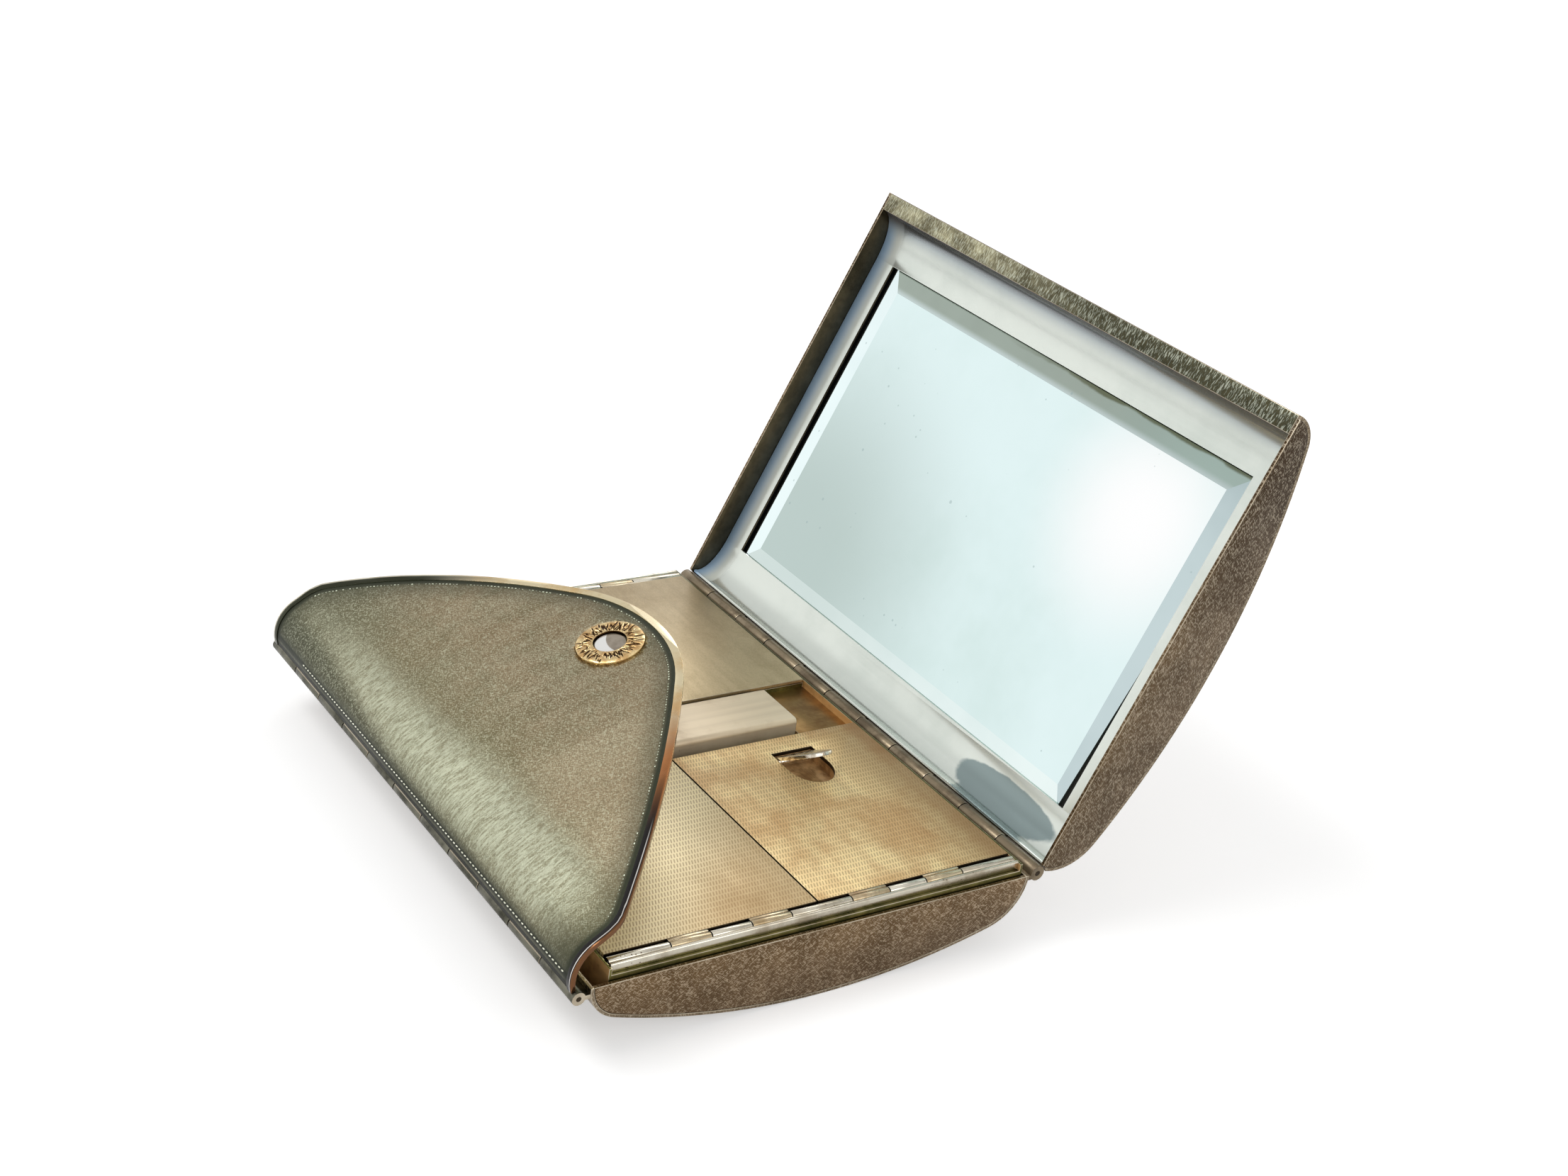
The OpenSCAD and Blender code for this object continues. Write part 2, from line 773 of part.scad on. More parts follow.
module lid_end(side) {
    color([0.5, 0.44, 0.38])
        lid_frame()
            difference() {
                along_x(end_t, side * (half_w - end_t / 2))
                    polygon(crown_line(lid_crown, sheet_t));
                block(-half_w - cut, half_w + cut, lid_front_y - cut, hinge_y + cut, -cut, rim_gap);
                translate([0, hinge_y, 0])
                    rod_x(lid_clear_r, case_w + cut);
            }
}

module lid_end_near() {
    lid_end(1);
}

module lid_end_far() {
    lid_end(-1);
}

module lid_ledge() {
    color([0.5, 0.5, 0.33])
        lid_frame()
            block(end_t - half_w, half_w - end_t, lid_front_y + ledge_gap, lid_front_y + ledge_w,
                rim_gap, ledge_top);
}

module lid_hinge() {
    color([0.62, 0.59, 0.53])
        lid_frame()
            for (i = [1 : 2 : knuckle_count - 1])
                translate([(i + 0.5) * pitch - half_w, 0, 0])
                    difference() {
                        union() {
                            translate([0, hinge_y, 0])
                                rod_x(lid_knuckle_r, pitch - knuckle_gap);
                            intersection() {
                                along_x(pitch - knuckle_gap)
                                    polygon(band(lid_crown, 0, sheet_t));
                                translate([0, hinge_y, 0])
                                    rod_x(lid_clear_r, pitch);
                                block(-pitch, pitch, 0, hinge_y, rim_gap, lid_depth);
                            }
                        }
                        translate([0, hinge_y, 0])
                            rod_x(lid_pin_r + pin_play, pitch + cut);
                    }
}

module mirror_liner() {
    color([0.8, 0.84, 0.83])
        lid_frame()
            difference() {
                along_x(2 * liner_x)
                    polygon(concat(cove_line(0), reversed(cove_line(liner_t))));
                block(-open_x, open_x, cove_front_y, cove_back_y, 0, glass_z);
            }
}

// The liner's visible line from the hinge to the ledge, grown by t
function cove_line(t) = concat(
    [for (i = [0 : cove_n]) [cove_back_y + (cove_back_w + t) * cos(90 * i / cove_n),
        ledge_top + (cove_h + t) * sin(90 * i / cove_n)]],
    [for (i = [0 : cove_n]) [cove_front_y - (cove_front_w + t) * sin(90 * i / cove_n),
        ledge_top + (cove_h + t) * cos(90 * i / cove_n)]]);

module mirror_glass() {
    x = open_x + mirror_lap;
    y0 = cove_front_y - mirror_lap;
    y1 = cove_back_y + mirror_lap;
    color([0.72, 0.8, 0.78])
        lid_frame()
            hull() {
                block(-x, x, y0, y1, glass_z + bevel_drop, card_z);
                block(bevel_w - x, x - bevel_w, y0 + bevel_w, y1 - bevel_w, glass_z, card_z);
            }
}

module mirror_card() {
    x = open_x + mirror_lap;
    color([0.25, 0.24, 0.22])
        lid_frame()
            block(-x, x, cove_front_y - mirror_lap, cove_back_y + mirror_lap, card_z, cradle_z);
}

module mirror_cradle() {
    in_x = open_x + mirror_lap + cradle_play;
    in_y0 = cove_front_y - mirror_lap - cradle_play;
    in_y1 = cove_back_y + mirror_lap + cradle_play;
    color([0.6, 0.6, 0.57])
        lid_frame()
            difference() {
                block(-in_x - cradle_t, in_x + cradle_t, in_y0 - cradle_t, in_y1 + cradle_t,
                    liner_z + liner_t, cradle_z + cradle_t);
                block(-in_x, in_x, in_y0, in_y1, liner_z, cradle_z);
            }
}

module strike_cup() {
    top = crown_rad - sheet_t - cup_drop - seat_rad;
    color([0.7, 0.68, 0.62])
        lid_frame()
            clasp_frame()
                difference() {
                    translate([0, 0, top - cup_len - cup_wall])
                        cylinder(r = cup_r + cup_wall, h = cup_len + cup_wall);
                    translate([0, 0, top - cup_len])
                        cylinder(r = cup_r, h = cup_len + cut);
                }
}

// Flap
function flap_band(up) = concat([[lid_front_y - flap_gap - flap_t - up, flap_z]],
    crown_line(lid_crown, -flap_gap - flap_t - up),
    reversed(crown_line(lid_crown, -flap_gap)),
    [[lid_front_y - flap_gap, flap_z]]);

module flap_sheet(up) {
    difference() {
        along_x(case_w)
            polygon(flap_band(up));
        translate([0, -hinge_y, flap_z])
            rod_x(flap_clear_r, case_w + cut);
    }
}

module flap_plan(s, over = 0) {
    translate([0, 0, flap_z - cut - over])
        linear_extrude(height = lid_depth - flap_z + 4 * cut + 2 * over)
            polygon(outline(s));
}

module flap_shell() {
    color([0.5, 0.5, 0.4])
        flap_frame()
            difference() {
                intersection() {
                    flap_sheet(0);
                    flap_plan(rim_w);
                }
                clasp_frame() {
                    cylinder(r = ring_r + seat_play, h = 3 * cut);
                    translate([0, 0, -3 * cut])
                        cylinder(r = stem_r + pin_play, h = 4 * cut);
                }
            }
}

module flap_rim() {
    color([0.85, 0.72, 0.5])
        flap_frame()
            difference() {
                intersection() {
                    flap_sheet(rim_up);
                    flap_plan(0);
                }
                flap_plan(rim_w, cut);
            }
}

module flap_hinge() {
    color([0.62, 0.59, 0.53])
        flap_frame()
            for (i = [1 : 2 : knuckle_count - 1])
                translate([(i + 0.5) * pitch - half_w, 0, 0])
                    difference() {
                        union() {
                            translate([0, -hinge_y, flap_z])
                                rod_x(flap_knuckle_r, pitch - knuckle_gap);
                            intersection() {
                                along_x(pitch - knuckle_gap)
                                    polygon(flap_band(0));
                                translate([0, -hinge_y, flap_z])
                                    rod_x(flap_clear_r, pitch);
                            }
                        }
                        translate([0, -hinge_y, flap_z])
                            rod_x(flap_pin_r + pin_play, pitch + cut);
                    }
}

module ornament_ring() {
    mid = (ring_r + ring_in_r) / 2;
    half = (ring_r - ring_in_r) / 2;
    color([0.83, 0.67, 0.36])
        flap_frame()
            clasp_frame()
                rotate_extrude()
                    polygon(concat([[mid - half, 0], [mid + half, 0]],
                        [for (i = [0 : ring_n]) [mid + half * cos(180 * i / ring_n),
                            ring_side_h + (ring_h - ring_side_h) * sin(180 * i / ring_n)]]));
}

module latch_barrel() {
    color([0.7, 0.68, 0.62])
        flap_frame()
            clasp_frame()
                translate([0, 0, -barrel_top - barrel_len])
                    difference() {
                        cylinder(r = barrel_r, h = barrel_len);
                        translate([0, 0, -cut])
                            cylinder(r = stem_r + pin_play, h = barrel_len + 2 * cut);
                        translate([0, 0, -cut])
                            cylinder(r = counter_r, h = barrel_len - bore_depth + cut);
                    }
}

module button_washer() {
    color([0.6, 0.6, 0.56])
        flap_frame()
            clasp_frame()
                difference() {
                    cylinder(r = ring_in_r - washer_out_gap, h = washer_t);
                    translate([0, 0, -cut])
                        cylinder(r = stem_r + washer_in_gap, h = washer_t + 2 * cut);
                }
}

module clasp_button() {
    collar_top = -barrel_top - bore_depth - pin_play;
    color([0.84, 0.86, 0.84])
        flap_frame()
            clasp_frame() {
                translate([0, 0, disc_low])
                    cylinder(r = ring_in_r - button_play, h = disc_t);
                translate([0, 0, collar_top - collar_t])
                    cylinder(r = stem_r, h = disc_low - collar_top + collar_t + disc_t / 2);
                translate([0, 0, collar_top - collar_t])
                    cylinder(r = collar_r, h = collar_t);
            }
}

base_shell();
base_end_near();
base_end_far();
base_lid_hinge();
base_flap_hinge();
lid_pin();
flap_pin();
tray_pan();
well_rest_front();
well_rest_back();
tray_rail_near();
tray_rail_far();
tray_hinge_near();
tray_hinge_far();
cover_pin_near();
cover_pin_far();
lid_shell();
lid_end_near();
lid_end_far();
lid_ledge();
lid_hinge();
mirror_liner();
mirror_glass();
mirror_card();
mirror_cradle();
strike_cup();
flap_shell();
flap_rim();
flap_hinge();
ornament_ring();
latch_barrel();
button_washer();
clasp_button();
far_cover_plate();
far_cover_hinge();
front_cover_plate();
front_cover_hinge();
back_cover_plate();
back_cover_hinge();
finger_cup();
tab_pin();
thumb_tab();
lipstick_sleeve();
lipstick_cap();
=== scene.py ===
import json
import math
import random
import bpy
import bmesh
from mathutils import Vector, Matrix, noise

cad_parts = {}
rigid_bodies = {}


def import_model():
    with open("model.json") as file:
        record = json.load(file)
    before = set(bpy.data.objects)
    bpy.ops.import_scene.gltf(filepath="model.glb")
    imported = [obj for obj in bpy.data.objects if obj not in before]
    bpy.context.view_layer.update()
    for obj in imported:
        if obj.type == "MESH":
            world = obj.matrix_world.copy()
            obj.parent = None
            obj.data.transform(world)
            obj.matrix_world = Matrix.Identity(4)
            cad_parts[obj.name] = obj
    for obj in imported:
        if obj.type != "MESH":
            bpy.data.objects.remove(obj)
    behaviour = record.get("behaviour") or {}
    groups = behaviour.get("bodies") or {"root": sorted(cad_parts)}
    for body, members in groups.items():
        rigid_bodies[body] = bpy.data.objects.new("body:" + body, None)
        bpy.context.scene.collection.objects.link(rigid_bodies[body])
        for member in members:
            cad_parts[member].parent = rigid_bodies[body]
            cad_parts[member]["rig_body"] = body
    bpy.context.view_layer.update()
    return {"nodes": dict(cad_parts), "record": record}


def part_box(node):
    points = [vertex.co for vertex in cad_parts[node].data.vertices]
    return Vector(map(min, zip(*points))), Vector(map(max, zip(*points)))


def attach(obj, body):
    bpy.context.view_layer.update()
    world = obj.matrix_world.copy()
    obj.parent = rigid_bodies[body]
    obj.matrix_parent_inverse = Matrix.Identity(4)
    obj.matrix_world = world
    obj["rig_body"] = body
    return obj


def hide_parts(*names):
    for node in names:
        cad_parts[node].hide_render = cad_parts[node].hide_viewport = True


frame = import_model()
nodes = frame["nodes"]
bpy.ops.object.select_all(action="DESELECT")
mm = 0.001
print("frame loaded:", len(nodes), "nodes")

# Places that the CAD gives, in millimetres from the middle of the base's rim
rimCentre = Vector((0, -27.8432233, 18.9))
flapHinge = Vector((0, -63.9, -2.04))
lidHinge = Vector((0, 63.9, 0))
flapOpen = math.radians(13.5)
lidOpen = math.radians(114.2)
# the way up the open lid, from its hinge to its ledge
lidUp = tuple(Matrix.Rotation(-lidOpen, 3, "X") @ Vector((0, -1, 0)))


def colour(red, green, blue):
    # a colour as a picture shows it, made linear
    return tuple((c / 12.92 if c <= 0.04045 else ((c + 0.055) / 1.055) ** 2.4)
                 for c in (red / 255, green / 255, blue / 255)) + (1.0,)


def put(tree, kind, inputs=None, **settings):
    node = tree.nodes.new(kind)
    for name, value in settings.items():
        setattr(node, name, value)
    for name, value in (inputs or {}).items():
        if isinstance(value, bpy.types.NodeSocket):
            tree.links.new(value, node.inputs[name])
        else:
            node.inputs[name].default_value = value
    return node


def maths(tree, operation, first, second=0.0, third=0.0):
    return put(tree, "ShaderNodeMath", {0: first, 1: second, 2: third}, operation=operation).outputs[0]


def ranged(tree, value, low, high, toLow=0.0, toHigh=1.0, smooth=True):
    kind = "SMOOTHSTEP" if smooth else "LINEAR"
    return put(tree, "ShaderNodeMapRange", {"Value": value, "From Min": low, "From Max": high, "To Min": toLow,
                                            "To Max": toHigh}, interpolation_type=kind).outputs[0]


def blended(tree, factor, first, second, how="MIX"):
    node = put(tree, "ShaderNodeMix", {0: factor, 6: first, 7: second}, data_type="RGBA", blend_type=how)
    return node.outputs[2]


def newGroup(name, inputs, outputs):
    tree = bpy.data.node_groups.new(name, "ShaderNodeTree")
    for label, kind, value in inputs:
        socket = tree.interface.new_socket(label, in_out="INPUT", socket_type=kind)
        if value is not None:
            socket.default_value = value
    for label in outputs:
        tree.interface.new_socket(label, in_out="OUTPUT", socket_type="NodeSocketFloat")
    return tree, tree.nodes.new("NodeGroupInput").outputs, tree.nodes.new("NodeGroupOutput").inputs


def groupNode(tree, group, inputs):
    node = tree.nodes.new("ShaderNodeGroup")
    node.node_tree = group
    for name, value in inputs.items():
        if isinstance(value, bpy.types.NodeSocket):
            tree.links.new(value, node.inputs[name])
        else:
            node.inputs[name].default_value = value
    return node.outputs


# Effects that several finishes share

def makeTarnish():
    # cloudy patches where the silver has gone dull
    tree, start, end = newGroup("tarnishPatches", [("Vector", "NodeSocketVector", None),
                                                   ("Scale", "NodeSocketFloat", 40.0),
                                                   ("Low", "NodeSocketFloat", 0.4),
                                                   ("High", "NodeSocketFloat", 0.65)], ["Mask"])
    noise = put(tree, "ShaderNodeTexNoise", {"Vector": start["Vector"], "Scale": start["Scale"], "Detail": 5.0,
                                             "Roughness": 0.62})
    tree.links.new(ranged(tree, noise.outputs[0], start["Low"], start["High"]), end["Mask"])
    return tree


def makeBrushed():
    # long fine scratches; Stretch is how many there are in a metre each way
    tree, start, end = newGroup("brushedLines", [("Vector", "NodeSocketVector", None),
                                                 ("Stretch", "NodeSocketVector", (100.0, 3000.0, 3000.0))],
                                ["Height", "Streak"])
    stretched = put(tree, "ShaderNodeVectorMath", {0: start["Vector"], 1: start["Stretch"]}, operation="MULTIPLY")
    fine = put(tree, "ShaderNodeTexNoise", {"Vector": stretched.outputs[0], "Scale": 1.0, "Detail": 3.0,
                                            "Roughness": 0.7})
    wide = put(tree, "ShaderNodeTexNoise", {"Vector": stretched.outputs[0], "Scale": 0.12, "Detail": 2.0})
    tree.links.new(ranged(tree, fine.outputs[0], 0.3, 0.7, smooth=False), end["Height"])
    tree.links.new(ranged(tree, wide.outputs[0], 0.38, 0.62), end["Streak"])
    return tree


def makeDashes():
    # engine turning: short slanted cuts in rows that run along Y and waver a little
    tree, start, end = newGroup("engravedDashes", [("Vector", "NodeSocketVector", None),
                                                   ("Row Pitch", "NodeSocketFloat", 0.0008),
                                                   ("Dash Pitch", "NodeSocketFloat", 0.00045),
                                                   ("Waver", "NodeSocketFloat", 0.0004),
                                                   ("Slant", "NodeSocketFloat", 0.9)], ["Height", "Cut"])
    place = put(tree, "ShaderNodeSeparateXYZ", {0: start["Vector"]}).outputs
    drift = put(tree, "ShaderNodeTexNoise", {"Vector": start["Vector"], "Scale": 55.0, "Detail": 1.0}).outputs[0]
    moved = maths(tree, "MULTIPLY_ADD", maths(tree, "SUBTRACT", drift, 0.5), start["Waver"], place["X"])
    row = maths(tree, "DIVIDE", moved, start["Row Pitch"])
    within = maths(tree, "FRACT", row)
    which = maths(tree, "FLOOR", row)
    shift = maths(tree, "MULTIPLY_ADD", within, start["Slant"], maths(tree, "MULTIPLY", which, 0.37))
    phase = maths(tree, "ADD", maths(tree, "DIVIDE", place["Y"], start["Dash Pitch"]), shift)
    wave = maths(tree, "SINE", maths(tree, "MULTIPLY", phase, 2 * math.pi))
    ends = maths(tree, "SINE", maths(tree, "MULTIPLY", within, math.pi))
    cut = maths(tree, "MULTIPLY", ranged(tree, wave, -0.2, 0.8), ranged(tree, ends, 0.15, 0.6))
    tree.links.new(cut, end["Cut"])
    tree.links.new(maths(tree, "SUBTRACT", 1.0, cut), end["Height"])
    return tree


def makeHatch():
    # two sets of fine slanted scratches that cross; where both are high the metal glints
    tree, start, end = newGroup("crossHatch", [("Vector", "NodeSocketVector", None),
                                               ("Angle", "NodeSocketFloat", 0.7),
                                               ("Stretch", "NodeSocketVector", (700.0, 4200.0, 700.0))],
                                ["Height", "Glint"])
    layers = []
    for side in (1.0, -1.0):
        angle = maths(tree, "MULTIPLY", start["Angle"], side)
        turned = put(tree, "ShaderNodeVectorRotate", {"Vector": start["Vector"], "Angle": angle},
                     rotation_type="Z_AXIS").outputs[0]
        stretched = put(tree, "ShaderNodeVectorMath", {0: turned, 1: start["Stretch"]}, operation="MULTIPLY")
        layers.append(put(tree, "ShaderNodeTexNoise", {"Vector": stretched.outputs[0], "Scale": 1.0, "Detail": 2.0,
                                                       "Roughness": 0.6}).outputs[0])
    high = maths(tree, "MAXIMUM", layers[0], layers[1])
    low = maths(tree, "MINIMUM", layers[0], layers[1])
    tree.links.new(ranged(tree, high, 0.42, 0.72, smooth=False), end["Height"])
    tree.links.new(ranged(tree, maths(tree, "ADD", high, maths(tree, "MULTIPLY", low, 0.5)), 0.76, 0.93), end["Glint"])
    return tree


def makeSpecks():
    # small dark pits and specks of dirt
    tree, start, end = newGroup("darkSpecks", [("Vector", "NodeSocketVector", None),
                                               ("Scale", "NodeSocketFloat", 700.0),
                                               ("Size", "NodeSocketFloat", 0.2)], ["Mask"])
    cells = put(tree, "ShaderNodeTexVoronoi", {"Vector": start["Vector"], "Scale": start["Scale"]})
    some = put(tree, "ShaderNodeTexNoise", {"Vector": start["Vector"], "Scale": 60.0, "Detail": 3.0}).outputs[0]
    size = maths(tree, "MULTIPLY", start["Size"], ranged(tree, some, 0.45, 0.7))
    mask = ranged(tree, maths(tree, "SUBTRACT", size, cells.outputs["Distance"]), 0.0, 0.06)
    tree.links.new(mask, end["Mask"])
    return tree


tarnishPatches = makeTarnish()
brushedLines = makeBrushed()
engravedDashes = makeDashes()
crossHatch = makeHatch()
darkSpecks = makeSpecks()
print("shared effects made")


# Finishes

def newMaterial(name):
    material = bpy.data.materials.new(name)
    material.use_nodes = True
    tree = material.node_tree
    return material, tree, tree.nodes["Principled BSDF"]


def objectPlace(tree, turn=(0, 0, 0)):
    spot = put(tree, "ShaderNodeTexCoord").outputs["Object"]
    if turn == (0, 0, 0):
        return spot
    return put(tree, "ShaderNodeMapping", {"Vector": spot, "Rotation": tuple(math.radians(a) for a in turn)}).outputs[0]


def metalFinish(name, pale, dull, turn=(0, 0, 0), patches=(45, 0.4, 0.66), brushed=(150, 2600, 2600), dashes=None,
                hatch=None, cutColour=None, glintColour=None, rough=(0.28, 0.45), relief=0.02, specks=None,
                streak=0.35, metal=1.0, shades=(), spot=None, matt=None):
    # one metal finish: two colours in cloudy patches, then its scratches, cuts and specks. Each shade is a
    # direction, the two places along it where the shade starts and is full, its colour and its strength.
    # A spot is a painted reflection in an oval: its middle, how steeply it falls off each way, its colour and its
    # strength. Matt is a direction, the two places where it starts and is full, and how metallic the finish is there
    material, tree, shader = newMaterial(name)
    place = objectPlace(tree, turn)
    patch = groupNode(tree, tarnishPatches, {"Vector": place, "Scale": patches[0], "Low": patches[1],
                                             "High": patches[2]})["Mask"]
    lines = groupNode(tree, brushedLines, {"Vector": place, "Stretch": brushed})
    toned = blended(tree, patch, pale, dull)
    toned = blended(tree, maths(tree, "MULTIPLY", lines["Streak"], streak), toned, dull)
    toned = blended(tree, maths(tree, "MULTIPLY", lines["Height"], 0.35), toned, pale)
    height = maths(tree, "MULTIPLY", lines["Height"], 0.35)
    for shade in shades:
        along = put(tree, "ShaderNodeVectorMath", {0: objectPlace(tree), 1: shade[0]}, operation="DOT_PRODUCT")
        share = ranged(tree, along.outputs["Value"], shade[1], shade[2], 0.0, shade[4])
        toned = blended(tree, share, toned, shade[3])
    if dashes:
        cuts = groupNode(tree, engravedDashes, {"Vector": place, "Row Pitch": dashes[0], "Dash Pitch": dashes[1],
                                                "Waver": dashes[2]})
        toned = blended(tree, maths(tree, "MULTIPLY", cuts["Cut"], dashes[3]), toned, cutColour or dull)
        height = maths(tree, "ADD", height, cuts["Height"])
    if hatch:
        marks = groupNode(tree, crossHatch, {"Vector": place, "Angle": hatch[0], "Stretch": hatch[1]})
        toned = blended(tree, maths(tree, "MULTIPLY", ranged(tree, marks["Height"], 0.6, 0.0), hatch[2]), toned, dull)
        toned = blended(tree, maths(tree, "MULTIPLY", marks["Glint"], hatch[3]), toned, glintColour or pale)
        height = maths(tree, "ADD", height, marks["Height"])
    if spot:
        offset = put(tree, "ShaderNodeVectorMath", {0: objectPlace(tree), 1: spot[0]}, operation="SUBTRACT").outputs[0]
        scaled = put(tree, "ShaderNodeVectorMath", {0: offset, 1: spot[1]}, operation="MULTIPLY").outputs[0]
        away = put(tree, "ShaderNodeVectorMath", {0: scaled}, operation="LENGTH").outputs["Value"]
        ragged = put(tree, "ShaderNodeTexNoise", {"Vector": place, "Scale": 260.0, "Detail": 3.0}).outputs[0]
        away = maths(tree, "MULTIPLY_ADD", ragged, 0.2, away)
        toned = blended(tree, ranged(tree, away, 1.12, 1.02, 0.0, spot[3]), toned, spot[2])
    if specks:
        dirt = groupNode(tree, darkSpecks, {"Vector": place, "Scale": specks[0], "Size": specks[1]})["Mask"]
        toned = blended(tree, maths(tree, "MULTIPLY", dirt, 0.75), toned, specks[2])
    tree.links.new(toned, shader.inputs["Base Color"])
    tree.links.new(ranged(tree, patch, 0.0, 1.0, rough[0], rough[1], False), shader.inputs["Roughness"])
    shader.inputs["Metallic"].default_value = metal
    if matt:
        along = put(tree, "ShaderNodeVectorMath", {0: objectPlace(tree), 1: matt[0]}, operation="DOT_PRODUCT")
        tree.links.new(ranged(tree, along.outputs["Value"], matt[1], matt[2], metal, matt[3]), shader.inputs["Metallic"])
    bump = put(tree, "ShaderNodeBump", {"Strength": 0.6, "Distance": relief * mm, "Height": height})
    tree.links.new(bump.outputs[0], shader.inputs["Normal"])
    return material


